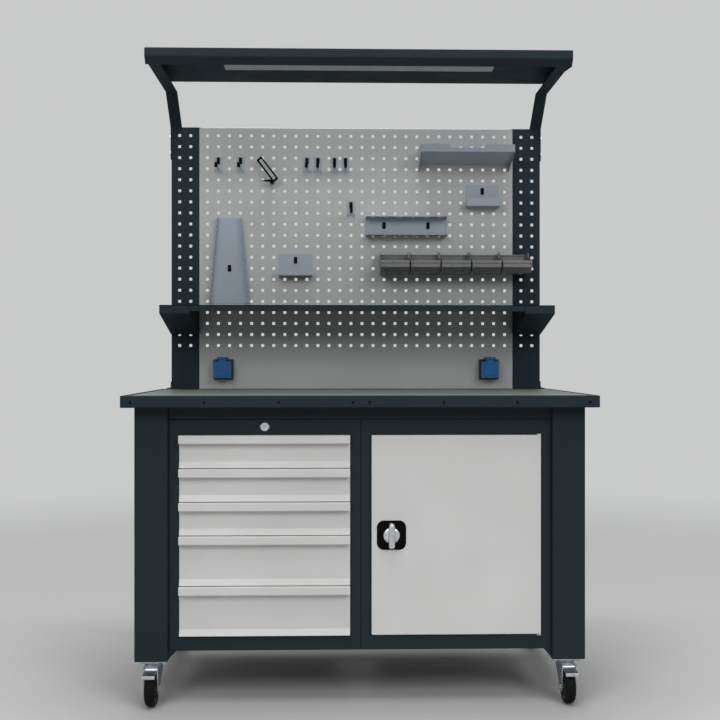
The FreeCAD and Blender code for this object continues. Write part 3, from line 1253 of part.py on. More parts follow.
def build_hooks():
    plates, caps = [], []
    for i, (column, row) in enumerate(HOOKS):
        middle_x = f"({column} * hole_pitch)"
        rod_z = f"({HOLE_TOP} + hole_pitch - {row} * hole_pitch)"
        foot = f"({rod_z} - hook_drop)"
        plate_face = f"({PANEL_FACE} - hook_plate_thick)"
        plate = block(
            f"hook_plate_{i}", centred(middle_x, "hook_plate"), (plate_face, PANEL_FACE),
            (foot, f"{foot} + hook_plate_high"),
        )
        end = f"({plate_face} - hook_reach)"
        length = "hook_reach + hook_plate_thick / 2"
        bar = faceted(f"hook_rod_{i}", "y", (middle_x, end, rod_z), "hook_rod", length, ROD_SIDES)
        plates.append(join(f"hook_{i}", plate, bar))
        caps.append(block(
            f"hook_cap_{i}", centred(middle_x, "cap_width"), (f"{end} - cap_long", end),
            centred(rod_z, "cap_high"),
        ))
    node("hooks", group("hook_set", *plates))
    node("hook_caps", group("cap_set", *caps))


# Fork holder: its column and row on the hole raster, and (right, up) of its corners from there.
FORK_COLUMN = -8
FORK_ROW = 3
FORK_FRAME = ((36, 0), (20, -14), (-38, 62), (-22, 76))
FORK_SLOT = ((28, 2), (20, -5), (-30, 61), (-22, 68))
FORK_FOOT = ((-26, -8), (20, -14), (20, -2))


def build_fork_holder():
    """Two slanting bars joined at both ends, on a stem that stands off the panel."""
    column = f"({FORK_COLUMN} * hole_pitch)"
    row_z = f"({HOLE_TOP} - {FORK_ROW} * hole_pitch)"
    face = f"({PANEL_FACE} - fork_holder_reach)"
    span = (face, f"{face} + fork_holder_thick")

    def corners(offsets):
        return [(f"{column} + {right}", f"{row_z} + {up}") for right, up in offsets]

    loop = prism("fork_holder_loop", "XZ", corners(FORK_FRAME), span)
    pocket(
        loop, "fork_holder_slot", "XZ", corners(FORK_SLOT), (f"{span[0]} - overcut", f"{span[1]} + overcut"),
    )
    pad(loop, "fork_holder_foot", "XZ", corners(FORK_FOOT), span)
    stem_x, stem_z = corners(FORK_FRAME)[1]
    stem = block(
        "fork_holder_stem", (f"{stem_x} - 2 * fork_holder_bar", stem_x), (span[1], PANEL_FACE),
        (stem_z, f"{stem_z} + 2 * fork_holder_bar"),
    )
    node("fork_holder", join("fork_holder_body", loop, stem))


build_worktop()
build_base_frame()
build_drawer_cabinet()
build_lock()
build_door_cabinet()
build_door()
build_handle()
build_castors()
build_uprights()
build_panels()
build_sockets()
build_shelf()
build_canopy()
build_tray()
build_bins()
build_racks()
build_hooks()
build_fork_holder()
doc.recompute()

failed = [o.Name for o in doc.Objects if {"Invalid", "Error"} & set(o.State)]
if failed:
    raise SystemExit(f"not built: {failed}")
for before, after in cuts:
    if after.Shape.Volume > before.Shape.Volume - 0.01:
        raise SystemExit(f"{after.Name} cut nothing")
for item in nodes:
    if item.Shape.isNull() or not item.Shape.isValid():
        raise SystemExit(f"{item.Label} has no valid shape")

os.makedirs("parts", exist_ok=True)
for item in nodes:
    item.Shape.exportStep(f"parts/{item.Label}.step")
    print(item.Label, len(item.Shape.Solids), "solids", round(item.Shape.Volume / 1000.0, 1), "cm3")
print(len(nodes), "nodes")
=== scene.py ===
# %% [markdown]
# A rolling workbench of folded sheet metal. The frame that this script loads holds every piece at its real
# size; here the pieces get what a folded and painted sheet shows: rounded bends, the full raster of holes,
# screws, moulded plastic, rubber and zinc. Everything is in metres, in the frame's own axes: +X to the right,
# +Y to the back, +Z up.

# %% Load the frame
import json
import math

import bmesh
import bpy
from mathutils import Matrix, Vector


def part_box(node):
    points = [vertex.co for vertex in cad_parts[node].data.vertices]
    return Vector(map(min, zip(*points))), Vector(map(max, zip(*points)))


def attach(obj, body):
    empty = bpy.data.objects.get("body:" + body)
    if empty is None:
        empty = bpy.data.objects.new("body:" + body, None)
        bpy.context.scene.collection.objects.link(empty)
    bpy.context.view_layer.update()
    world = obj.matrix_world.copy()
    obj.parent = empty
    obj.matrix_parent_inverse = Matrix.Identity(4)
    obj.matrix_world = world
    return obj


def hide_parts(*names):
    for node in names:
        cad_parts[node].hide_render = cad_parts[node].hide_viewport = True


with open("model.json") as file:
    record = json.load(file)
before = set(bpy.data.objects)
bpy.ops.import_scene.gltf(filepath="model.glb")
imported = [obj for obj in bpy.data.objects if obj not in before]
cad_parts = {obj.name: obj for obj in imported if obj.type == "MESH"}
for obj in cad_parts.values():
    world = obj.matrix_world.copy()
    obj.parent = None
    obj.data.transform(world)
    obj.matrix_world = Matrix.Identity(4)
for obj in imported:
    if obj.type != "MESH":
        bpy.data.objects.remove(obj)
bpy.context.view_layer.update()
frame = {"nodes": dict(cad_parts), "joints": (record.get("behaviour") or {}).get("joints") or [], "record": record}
nodes = frame["nodes"]
body_of_node = {n: b for b, names in frame["record"]["behaviour"]["bodies"].items() for n in names}
slot_of_node = {s["node"]: s["material_slot"] for s in frame["record"]["subparts"]}
joint_at = {j["name"]: Vector(j["pos_m"]) for j in frame["joints"] if "pos_m" in j}

# %% [markdown]
# Finishes first. A powder coat is never one flat colour: its skin has a fine orange peel that breaks up
# reflections, its gloss changes a little from place to place, and handling leaves faint darker clouds. All of
# this can come from noise on Object coordinates, so it stays put when a piece moves and needs no image.

# %% A plain finish and a noise
FINISHES = {}
NOISE_DETAIL = 3.0


def set_inputs(node, values):
    """Sets a node's inputs by their names."""
    for label, value in values.items():
        node.inputs[label].default_value = value


def shader_of(material):
    return material.node_tree.nodes["Principled BSDF"]


def new_finish(slot, colour, roughness, metallic=0.0, specular=0.5):
    """A finish with one plain shader; the other helpers add to it."""
    material = bpy.data.materials.new(slot)
    material.use_nodes = True
    set_inputs(shader_of(material), {
        "Base Color": (*colour, 1.0), "Roughness": roughness,
        "Metallic": metallic, "Specular IOR Level": specular,
    })
    FINISHES[slot] = material
    return material


def noise_of(material, scale, detail=NOISE_DETAIL, stretch=(1.0, 1.0, 1.0)):
    """Noise that sticks to the piece; a stretch above 1 makes it finer along an axis."""
    tree = material.node_tree
    place = tree.nodes.new("ShaderNodeTexCoord")
    mapping = tree.nodes.new("ShaderNodeMapping")
    set_inputs(mapping, {"Scale": stretch})
    noise = tree.nodes.new("ShaderNodeTexNoise")
    set_inputs(noise, {"Scale": scale, "Detail": detail})
    tree.links.new(place.outputs["Object"], mapping.inputs["Vector"])
    tree.links.new(mapping.outputs["Vector"], noise.inputs["Vector"])
    return noise.outputs["Fac"]


print("noise of detail", NOISE_DETAIL, "unless a finish asks for another")

# %% [markdown]
# Three properties can follow such a noise: the colour swings between two close tones, the gloss between two
# values of roughness, and a bump gives a fine relief. Most of a noise lies near its middle, so only that band
# is spread out; spread over the whole range, the clouds would hardly show.

# %% Clouds and relief
TONE_BAND = (0.35, 0.65)
GLOSS_BAND = (0.3, 0.7)


def cloud_colour(material, factor, dark, light):
    """Two close colours, mixed by a noise."""
    tree = material.node_tree
    ramp = tree.nodes.new("ShaderNodeValToRGB")
    for stop, position, colour in zip(ramp.color_ramp.elements, TONE_BAND, (dark, light)):
        stop.position = position
        stop.color = (*colour, 1.0)
    tree.links.new(factor, ramp.inputs["Fac"])
    tree.links.new(ramp.outputs["Color"], shader_of(material).inputs["Base Color"])


def cloud_gloss(material, factor, low, high):
    """Roughness between two values, mixed by a noise."""
    tree = material.node_tree
    spread = tree.nodes.new("ShaderNodeMapRange")
    set_inputs(spread, {
        "From Min": GLOSS_BAND[0], "From Max": GLOSS_BAND[1], "To Min": low, "To Max": high,
    })
    tree.links.new(factor, spread.inputs["Value"])
    tree.links.new(spread.outputs["Result"], shader_of(material).inputs["Roughness"])


def relief(material, factor, height, strength=0.5):
    """Fine unevenness of the surface, as deep as height."""
    tree = material.node_tree
    bump = tree.nodes.new("ShaderNodeBump")
    set_inputs(bump, {"Distance": height, "Strength": strength})
    tree.links.new(factor, bump.inputs["Height"])
    tree.links.new(bump.outputs["Normal"], shader_of(material).inputs["Normal"])


def shade(colour, factor):
    return tuple(channel * factor for channel in colour)


print("tones spread over", TONE_BAND, "of a noise, gloss over", GLOSS_BAND)

# %% [markdown]
# Paint. The bench has few painted colours: anthracite, pale grey, a mid-grey panel and blue-grey racks. They
# differ in colour and gloss alone, so one function makes them all: broad clouds of tone, smaller clouds of
# gloss and the orange peel.

# %% Painted finishes
def powder_coat(slot, colour, roughness, specular):
    material = new_finish(slot, colour, roughness, specular=specular)
    clouds = noise_of(material, scale=2.2, detail=5.0)
    patches = noise_of(material, scale=14.0, detail=4.0)
    orange_peel = noise_of(material, scale=900.0, detail=2.0)
    cloud_colour(material, clouds, shade(colour, 0.95), shade(colour, 1.05))
    cloud_gloss(material, patches, low=roughness - 0.06, high=roughness + 0.08)
    relief(material, orange_peel, height=0.00025)


powder_coat("anthracite_paint", (0.0215, 0.031, 0.0365), roughness=0.58, specular=0.02)
powder_coat("grey_paint", (0.62, 0.62, 0.615), roughness=0.4, specular=0.4)
powder_coat("panel_paint", (0.395, 0.4, 0.4), roughness=0.5, specular=0.25)
powder_coat("rack_steel", (0.29, 0.335, 0.39), roughness=0.38, specular=0.35)
print("painted:", ", ".join(FINISHES))

# %% [markdown]
# Plastic and rubber. A moulded piece keeps the grain of its mould, which is finer than an orange peel; the
# worktop's covering and the tyres have a coarse one. The blue lids are the one strong colour of the bench,
# and a clear coat gives them their shine.

# %% Moulded finishes
def moulded_plastic(slot, colour, roughness, specular, grain=1600.0):
    material = new_finish(slot, colour, roughness, specular=specular)
    clouds = noise_of(material, scale=30.0, detail=4.0)
    patches = noise_of(material, scale=45.0)
    mould_grain = noise_of(material, scale=grain, detail=2.0)
    cloud_colour(material, clouds, shade(colour, 0.95), shade(colour, 1.05))
    cloud_gloss(material, patches, low=roughness - 0.05, high=roughness + 0.08)
    relief(material, mould_grain, height=0.0002)


moulded_plastic("worktop_grey", (0.134, 0.149, 0.144), roughness=0.5, specular=0.22, grain=700.0)
moulded_plastic("black_plastic", (0.003, 0.003, 0.0034), roughness=0.42, specular=0.04)
moulded_plastic("dark_plastic", (0.03, 0.034, 0.038), roughness=0.42, specular=0.35)
moulded_plastic("blue_plastic", (0.004, 0.1, 0.285), roughness=0.3, specular=0.2)
moulded_plastic("bin_plastic", (0.15, 0.155, 0.152), roughness=0.3, specular=0.5)
moulded_plastic("lamp_white", (0.36, 0.375, 0.38), roughness=0.3, specular=0.4)
moulded_plastic("tyre", (0.005, 0.005, 0.0055), roughness=0.55, specular=0.1, grain=500.0)
set_inputs(shader_of(FINISHES["blue_plastic"]), {"Coat Weight": 0.3})
print(len(FINISHES), "finishes with the moulded ones")

# %% [markdown]
# Bare metal and wood. Zinc is mottled. Satin chrome is brushed, and a noise that is stretched along one axis
# reads as brushing; stretched much further, it reads as the grain of the board. Then every node of the frame
# gets the finish that the record names for it.

# %% Metal, wood, and a finish for every node
def bare_metal(slot, colour, roughness, stretch):
    material = new_finish(slot, colour, roughness, metallic=1.0)
    mottling = noise_of(material, scale=60.0, detail=6.0)
    brushing = noise_of(material, scale=220.0, detail=4.0, stretch=stretch)
    scratches = noise_of(material, scale=500.0, stretch=stretch)
    cloud_colour(material, mottling, shade(colour, 0.82), shade(colour, 1.1))
    cloud_gloss(material, brushing, low=roughness - 0.08, high=roughness + 0.12)
    relief(material, scratches, height=0.00012, strength=0.35)


bare_metal("zinc", (0.53, 0.57, 0.62), roughness=0.32, stretch=(1.0, 1.0, 1.0))
bare_metal("chrome", (0.72, 0.74, 0.77), roughness=0.16, stretch=(1.0, 1.0, 4.0))

WOOD_GRAIN = (0.4, 8.0, 8.0)
DARK_WOOD, LIGHT_WOOD = (0.34, 0.21, 0.11), (0.5, 0.34, 0.19)
board = new_finish("board_wood", (0.45, 0.3, 0.17), roughness=0.6)
cloud_colour(board, noise_of(board, scale=18.0, detail=6.0, stretch=WOOD_GRAIN), DARK_WOOD, LIGHT_WOOD)
relief(board, noise_of(board, scale=90.0, stretch=WOOD_GRAIN), height=0.0003)

for name, node in nodes.items():
    node.data.materials.clear()
    node.data.materials.append(FINISHES[slot_of_node[name]])
print(len(FINISHES), "finishes on", len(nodes), "nodes")

# %% [markdown]
# Pieces are built in different ways, but all end as a plain mesh. A form is drawn as a bmesh and written out;
# what modifiers make is taken from the evaluated object, so no piece keeps a live modifier.

# %% Forms, meshes and objects
def new_object(name, data):
    made = bpy.data.objects.new(name, data)
    bpy.context.scene.collection.objects.link(made)
    return made


def mesh_of(name, form):
    """A form as a plain mesh; the form itself goes."""
    mesh = bpy.data.meshes.new(name)
    form.to_mesh(mesh)
    form.free()
    return mesh


def evaluated_mesh(piece):
    """The mesh that a piece's modifiers make; the helper object goes."""
    graph = bpy.context.evaluated_depsgraph_get()
    mesh = bpy.data.meshes.new_from_object(piece.evaluated_get(graph))
    bpy.data.objects.remove(piece)
    return mesh


print(len(bpy.data.meshes), "meshes before any piece is added")

# %% [markdown]
# Every piece that is added goes through one door: it gets its finish, rides on a body of the frame, and the
# node that it stands for is hidden. Edges stay sharp only where two faces meet steeply, so that bends and turned
# forms look smooth. Plain smooth shading would also tilt the flats beside a bend, so the normals are weighted by
# the size of the faces.

# %% Finish a piece
SHARP_ANGLE = math.radians(32)
NO_LENGTH = 0.000001


def broad_normals(mesh):
    """Normals that follow the broad faces, so that a flat beside a bend stays flat."""
    mesh.shade_smooth()
    mesh.set_sharp_from_angle(angle=SHARP_ANGLE)
    piece = new_object("normals", mesh)
    weighted = piece.modifiers.new("normals", "WEIGHTED_NORMAL")
    weighted.keep_sharp = True
    return evaluated_mesh(piece)


def drop_slivers(mesh):
    """Takes out edges without length and faces without area, which bends and folds leave at corners."""
    bm = bmesh.new()
    bm.from_mesh(mesh)
    bmesh.ops.dissolve_degenerate(bm, dist=NO_LENGTH, edges=bm.edges)
    bm.to_mesh(mesh)
    bm.free()


def finish_mesh(name, mesh, slot, body, stands_for=()):
    drop_slivers(mesh)
    piece = new_object(name, broad_normals(mesh))
    piece.data.materials.clear()
    piece.data.materials.append(FINISHES[slot])
    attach(piece, body)
    if stands_for:
        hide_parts(*stands_for)


def finish_piece(name, form, slot, body, stands_for=()):
    finish_mesh(name, mesh_of(name, form), slot, body, stands_for)


print("edges that turn more than", round(math.degrees(SHARP_ANGLE)), "degrees stay sharp")

# %% [markdown]
# Folded sheet. A press brake leaves a round bend: its outer radius is about one and a half sheets, its inner
# radius is that minus the sheet. The solids have sharp bends. Rounding every edge alike would also round the
# cut rims, which are square on real sheet, so each edge is sorted first: a bend is an edge between two broad
# faces, a rim has the narrow face of the sheet on one side.

# %% Sort the edges of a folded node
MERGE_DISTANCE = 0.00001
FLAT_ANGLE = math.radians(0.4)
BEND_ANGLE = math.radians(20)
BROAD_SHEETS = 2.2
STEP_INSIDE = 0.001


def part_at_middle(bm, seam):
    """Moves two lengths that meet at x = 0 apart by a seam; loose triangles share no corners."""
    for face in bm.faces:
        inside = face.calc_center_median().x - STEP_INSIDE * face.normal.x
        for vert in face.verts:
            if abs(vert.co.x) < seam:
                vert.co.x = math.copysign(seam / 2, inside)


def merged_copy(node, seam):
    """A node's loose triangles as a clean mesh of flat faces."""
    bm = bmesh.new()
    bm.from_mesh(nodes[node].data)
    if seam:
        part_at_middle(bm, seam)
    bmesh.ops.remove_doubles(bm, verts=bm.verts, dist=MERGE_DISTANCE)
    bmesh.ops.dissolve_limit(bm, angle_limit=FLAT_ANGLE, verts=bm.verts, edges=bm.edges)
    return bm


def breadth(face):
    return face.calc_area() / max(edge.calc_length() for edge in face.edges)


def is_bend(edge, sheet, seam):
    """Whether an edge turns between two broad faces, neither of them an end at the seam."""
    if len(edge.link_faces) != 2 or edge.calc_face_angle(0.0) < BEND_ANGLE:
        return False
    if any(abs(face.calc_center_median().x) < seam for face in edge.link_faces):
        return False
    return min(breadth(face) for face in edge.link_faces) >= BROAD_SHEETS * sheet


print("a face is broad from", BROAD_SHEETS, "sheets on")

# %% [markdown]
# Only the bends get a bevel weight: 1 for an outer edge, less for an inner one. Where the radius is larger
# than the sheet, both arcs of a bend then have one centre, and the sheet is as thick there as elsewhere.

# %% Round the bends of a folded node
BEND_SEGMENTS = 3
LEAST_INNER_SHARE = 0.15


def folded_mesh(node, sheet, radius, seam=0.0):
    """A node's mesh with round bends, and how many bends it has."""
    bm = merged_copy(node, seam)
    weights = bm.edges.layers.float.new("bevel_weight_edge")
    inner_share = max(radius - sheet, LEAST_INNER_SHARE * radius) / radius
    bends = [edge for edge in bm.edges if is_bend(edge, sheet, seam)]
    for edge in bends:
        edge[weights] = 1.0 if edge.calc_face_angle_signed(0.0) > 0.0 else inner_share
    piece = new_object(node, mesh_of(node, bm))
    bevel = piece.modifiers.new("bends", "BEVEL")
    bevel.limit_method = "WEIGHT"
    bevel.width = radius
    bevel.segments = BEND_SEGMENTS
    bevel.use_clamp_overlap = False
    return evaluated_mesh(piece), len(bends)


def folded(gauge, *names):
    """Rounds the bends of nodes of one gauge, which is a sheet and the outer radius of its bends."""
    for node in names:
        mesh, bends = folded_mesh(node, *gauge)
        finish_mesh(f"{node}_folded", mesh, slot_of_node[node], body_of_node[node], (node,))
        print(node, bends, "bends")


print("each bend is drawn with", BEND_SEGMENTS, "segments")

# %% [markdown]
# The heavy sheet comes first. Each call names a gauge and its nodes; legs and arms are thicker than cabinet
# walls, so their bends are wider too. The printed count shows whether the sorting found the bends of a piece.

# %% Base frame, cabinets, shelf and canopy
LEG_GAUGE = (0.0025, 0.004)
RAIL_GAUGE = (0.002, 0.003)
ARM_GAUGE = (0.003, 0.004)
CABINET_GAUGE = (0.002, 0.0025)
LIGHT_GAUGE = (0.0015, 0.002)
folded(LEG_GAUGE, "legs_front", "legs_rear")
folded(RAIL_GAUGE, "side_rails", "front_apron", "rear_beams", "shelf", "shelf_brackets", "canopy")
folded(ARM_GAUGE, "canopy_arms")
folded(CABINET_GAUGE, "drawer_cabinet", "door_cabinet")
folded(LIGHT_GAUGE, "cabinet_shelf")

# %% [markdown]
# Drawers and door are lighter sheet. They could be drawn anew as boxes, but the solids already have the right
# size, grips and rims, so only their bends are rounded. Each rounded copy rides the body of its node: a
# drawer's copy slides with the drawer, and the door's copy swings with the door.

# %% Drawers and door
DRAWERS = 5
DRAWER_GAUGE = (0.0015, 0.0022)
DOOR_GAUGE = (0.0015, 0.0025)
folded(DRAWER_GAUGE, *(f"drawer_{level}" for level in range(1, DRAWERS + 1)))
folded(DOOR_GAUGE, "door_panel")

# %% [markdown]
# What hangs on the panel is thin steel or plastic. The racks could do with one bevel on every edge, but their
# cut rims would look cast, so they are sorted like the rest. The bins are moulded, so their edges get a
# larger radius than those of the folded racks, and later a rolled rim.

# %% Fixtures of folded sheet
BIN_GAUGE = (0.002, 0.0035)
FORK_HOLDER_GAUGE = (0.001, 0.0015)
folded(LIGHT_GAUGE, "tray", "hole_rack", "bit_racks", "notched_rack")
folded(BIN_GAUGE, "bins")
folded(FORK_HOLDER_GAUGE, "fork_holder")

# %% [markdown]
# Perforations. The tool panel and the uprights carry the same raster of square holes with rounded corners.
# Cutting hundreds of holes out of a plate is slow and leaves ragged faces. It is quicker to make one flat
# cell with its hole and to repeat the cell. A cell is two curves, a square of one pitch and the hole with its
# rounded corners, filled in between.

# %% One cell with its hole
CORNER_STEPS = 3


def holed_cell(make, link, given):
    """Nodes that make one flat cell from a tree's inputs; gives back its mesh socket."""
    rim = make("GeometryNodeCurvePrimitiveQuadrilateral")
    hole = make("GeometryNodeCurvePrimitiveQuadrilateral")
    for square, side in ((rim, "Pitch"), (hole, "Hole")):
        link(given[side], square.inputs["Width"])
        link(given[side], square.inputs["Height"])
    rounded = make("GeometryNodeFilletCurve")
    rounded.mode = "POLY"
    set_inputs(rounded, {"Count": CORNER_STEPS})
    link(hole.outputs["Curve"], rounded.inputs["Curve"])
    link(given["Corner"], rounded.inputs["Radius"])
    both = make("GeometryNodeJoinGeometry")
    link(rim.outputs["Curve"], both.inputs["Geometry"])
    link(rounded.outputs["Curve"], both.inputs["Geometry"])
    cell = make("GeometryNodeFillCurve")
    link(both.outputs["Geometry"], cell.inputs["Curve"])
    return cell.outputs["Mesh"]


print("each corner of a hole is drawn with", CORNER_STEPS, "steps")

# %% [markdown]
# Thickness comes late, when the cells are one flat sheet: cells that were thickened one by one would keep
# walls between them. The sheet is pushed forward, a flipped copy of it closes the back, and the two are
# welded along their rims.

# %% Thickness of a flat sheet
CELL_MERGE = 0.0002


def thick_sheet(make, link, flat, thickness):
    """Nodes that give a flat mesh a thickness; gives back the socket of the closed mesh."""
    front = make("GeometryNodeExtrudeMesh")
    set_inputs(front, {"Individual": False})
    link(flat, front.inputs["Mesh"])
    link(thickness, front.inputs["Offset Scale"])
    back = make("GeometryNodeFlipFaces")
    link(flat, back.inputs["Mesh"])
    closed = make("GeometryNodeJoinGeometry")
    link(front.outputs["Mesh"], closed.inputs["Geometry"])
    link(back.outputs["Mesh"], closed.inputs["Geometry"])
    welded = make("GeometryNodeMergeByDistance")
    set_inputs(welded, {"Distance": CELL_MERGE})
    link(closed.outputs["Geometry"], welded.inputs["Geometry"])
    return welded.outputs["Geometry"]


print("points within", CELL_MERGE, "m become one")

# %% [markdown]
# The tree sets the cell on a grid of points, makes the copies real and merges them into the flat sheet, which
# then gets its thickness and its finish. The sizes are named inputs, so one tree makes panels and uprights.

# %% A node tree for perforated sheet
def add_inputs(tree, inputs):
    """Named inputs of a tree; gives back the identifiers by name."""
    keys = {}
    for name, kind in inputs:
        keys[name] = tree.interface.new_socket(name, in_out="INPUT", socket_type=kind).identifier
    tree.interface.new_socket("Geometry", in_out="OUTPUT", socket_type="NodeSocketGeometry")
    return keys


def perforated_tree():
    tree = bpy.data.node_groups.new("perforated_sheet", "GeometryNodeTree")
    keys = add_inputs(tree, (
        ("Geometry", "NodeSocketGeometry"), ("Columns", "NodeSocketInt"), ("Rows", "NodeSocketInt"),
        ("Width", "NodeSocketFloat"), ("Height", "NodeSocketFloat"), ("Pitch", "NodeSocketFloat"),
        ("Hole", "NodeSocketFloat"), ("Corner", "NodeSocketFloat"), ("Sheet", "NodeSocketFloat"),
        ("Finish", "NodeSocketMaterial"),
    ))
    make, link = tree.nodes.new, tree.links.new
    given = make("NodeGroupInput").outputs
    grid = make("GeometryNodeMeshGrid")
    link(given["Width"], grid.inputs["Size X"])
    link(given["Height"], grid.inputs["Size Y"])
    link(given["Columns"], grid.inputs["Vertices X"])
    link(given["Rows"], grid.inputs["Vertices Y"])
    cells = make("GeometryNodeInstanceOnPoints")
    link(grid.outputs["Mesh"], cells.inputs["Points"])
    link(holed_cell(make, link, given), cells.inputs["Instance"])
    real = make("GeometryNodeRealizeInstances")
    link(cells.outputs["Instances"], real.inputs["Geometry"])
    merged = make("GeometryNodeMergeByDistance")
    set_inputs(merged, {"Distance": CELL_MERGE})
    link(real.outputs["Geometry"], merged.inputs["Geometry"])
    sheet = thick_sheet(make, link, merged.outputs["Geometry"], given["Sheet"])
    painted = make("GeometryNodeSetMaterial")
    link(sheet, painted.inputs["Geometry"])
    link(given["Finish"], painted.inputs["Material"])
    link(painted.outputs["Geometry"], make("NodeGroupOutput").inputs["Geometry"])
    return tree, keys


PERFORATED, PERFORATED_KEYS = perforated_tree()
print("node tree", PERFORATED.name, "with", len(PERFORATED.nodes), "nodes")

# %% [markdown]
# A field is this tree at work. Its inputs are set by their identifiers before the object is first evaluated,
# and the result is taken out as a plain mesh. The grid lies flat, so the field is then stood upright, with
# the sheet behind its front face.

# %% A field of holes
QUARTER = math.radians(90)
HOLE_PITCH = 0.038
HOLE_SIDE = 0.010
HOLE_CORNER = 0.0022
TOP_ROW = 1.760


def tree_mesh(piece, tree, keys, values):
    """The mesh that a node tree makes on a helper object, which goes."""
    modifier = piece.modifiers.new("tree", "NODES")
    modifier.node_group = tree
    for label, value in values.items():
        modifier[keys[label]] = value
    return evaluated_mesh(piece)


def perforated_field(columns, rows, middle_x, top_row, front, sheet, slot):
    """A field of cells whose holes start at a row and go down; its front face looks towards -Y."""
    height = (rows - 1) * HOLE_PITCH
    piece = new_object("field", bpy.data.meshes.new("field"))
    mesh = tree_mesh(piece, PERFORATED, PERFORATED_KEYS, {
        "Columns": columns, "Width": (columns - 1) * HOLE_PITCH, "Rows": rows, "Height": height,
        "Pitch": HOLE_PITCH, "Hole": HOLE_SIDE, "Corner": HOLE_CORNER,
        "Sheet": sheet, "Finish": FINISHES[slot],
    })
    middle = Vector((middle_x, front + sheet, top_row - height / 2))
    mesh.transform(Matrix.Translation(middle) @ Matrix.Rotation(QUARTER, 4, "X"))
    return mesh


print("holes of", HOLE_SIDE, "m at a pitch of", HOLE_PITCH, "m")

# %% [markdown]
# Round the field runs a plain margin that is folded back. A margin is a strip whose section is a line, an arc
# and a line; the section is thickened to the sheet and pulled along the edge.

# %% Folded margins round a field
ARC_STEPS = 5


def folded_section(flat, fold, radius):
    """Points of an L with a round bend: along u for the margin, then along v for the fold."""
    points = [(0.0, 0.0)]
    for step in range(ARC_STEPS + 1):
        angle = QUARTER * step / ARC_STEPS
        points.append((flat - radius + radius * math.sin(angle), radius - radius * math.cos(angle)))
    points.append((flat, fold))
    return points


def thick_section(points, sheet):
    """The section's outline, with the sheet on the inner side of the bend."""
    inner = []
    for i, (u, v) in enumerate(points):
        before, after = points[max(i - 1, 0)], points[min(i + 1, len(points) - 1)]
        heading = Vector((after[0] - before[0], after[1] - before[1])).normalized()
        inner.append((u - heading.y * sheet, v + heading.x * sheet))
    return points + inner[::-1]


def pulled_strip(bm, outline, origin, u_axis, v_axis, pull):
    """Adds a prism with that outline to bm, pulled along a vector."""
    origin, u_axis, v_axis, pull = (Vector(v) for v in (origin, u_axis, v_axis, pull))
    start = [bm.verts.new(origin + u * u_axis + v * v_axis) for u, v in outline]
    end = [bm.verts.new(vert.co + pull) for vert in start]
    faces = [bm.faces.new(start), bm.faces.new(end[::-1])]
    for i in range(len(start)):
        j = (i + 1) % len(start)
        faces.append(bm.faces.new((start[j], start[i], end[i], end[j])))
    bmesh.ops.recalc_face_normals(bm, faces=faces)


def add_mesh(bm, mesh):
    bm.from_mesh(mesh)
    bpy.data.meshes.remove(mesh)


def plain_strip(bm, low, high):
    """Adds a flat box between two corners."""
    for vert in bmesh.ops.create_cube(bm, size=1.0)["verts"]:
        vert.co = Vector(low[i] if vert.co[i] < 0 else high[i] for i in range(3))


print("the arc of a fold has", ARC_STEPS, "steps")

# %% [markdown]
# The upper panel has seventeen rows, the lower one three, on one raster that runs on past their seam. A field
# and its four folded margins make one panel.

# %% Tool panel and socket panel
PANEL_SHEET = 0.0015
PANEL_COLUMNS = 28
TOOL_ROWS = 17
SOCKET_ROWS = 3
BEND = 0.0025


def perforated_panel(node, rows, top_row):
    low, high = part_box(node)
    front, depth = low.y, high.y - low.y
    bm = bmesh.new()
    add_mesh(bm, perforated_field(PANEL_COLUMNS, rows, 0.0, top_row, front, PANEL_SHEET, "panel_paint"))
    side = PANEL_COLUMNS * HOLE_PITCH / 2
    upper = top_row + HOLE_PITCH / 2
    lower = top_row - (rows - 0.5) * HOLE_PITCH
    for edge, sign in ((low.x, -1), (high.x, 1)):
        section = thick_section(folded_section(abs(edge) - side, depth, BEND), PANEL_SHEET)
        pull = (0, 0, high.z - low.z)
        pulled_strip(bm, section, (sign * side, front, low.z), (sign, 0, 0), (0, 1, 0), pull)
    for edge, start, sign in ((high.z, upper, 1), (low.z, lower, -1)):
        margin = abs(edge - start)
        section = thick_section(folded_section(margin, depth, min(BEND, margin)), PANEL_SHEET)
        pulled_strip(bm, section, (-side, front, start), (0, 0, sign), (0, 1, 0), (2 * side, 0, 0))
    finish_piece(f"{node}_sheet", bm, "panel_paint", "frame", (node,))
    print(node, rows * PANEL_COLUMNS, "holes")


perforated_panel("tool_panel", TOOL_ROWS, TOP_ROW)
perforated_panel("socket_panel", SOCKET_ROWS, TOP_ROW - TOOL_ROWS * HOLE_PITCH)

# %% [markdown]
# An upright is a narrow field with two columns of holes between two deep folds. It could be a box with holes
# cut into it; the field and the strips of the panels give cleaner faces and keep all rows in line. Plain
# strips close the field at the foot and at the head.

# %% Uprights
UPRIGHT_SHEET = 0.002
UPRIGHT_COLUMNS = 2
UPRIGHT_ROWS = 20
UPRIGHT_MIDDLE = 15.5 * HOLE_PITCH


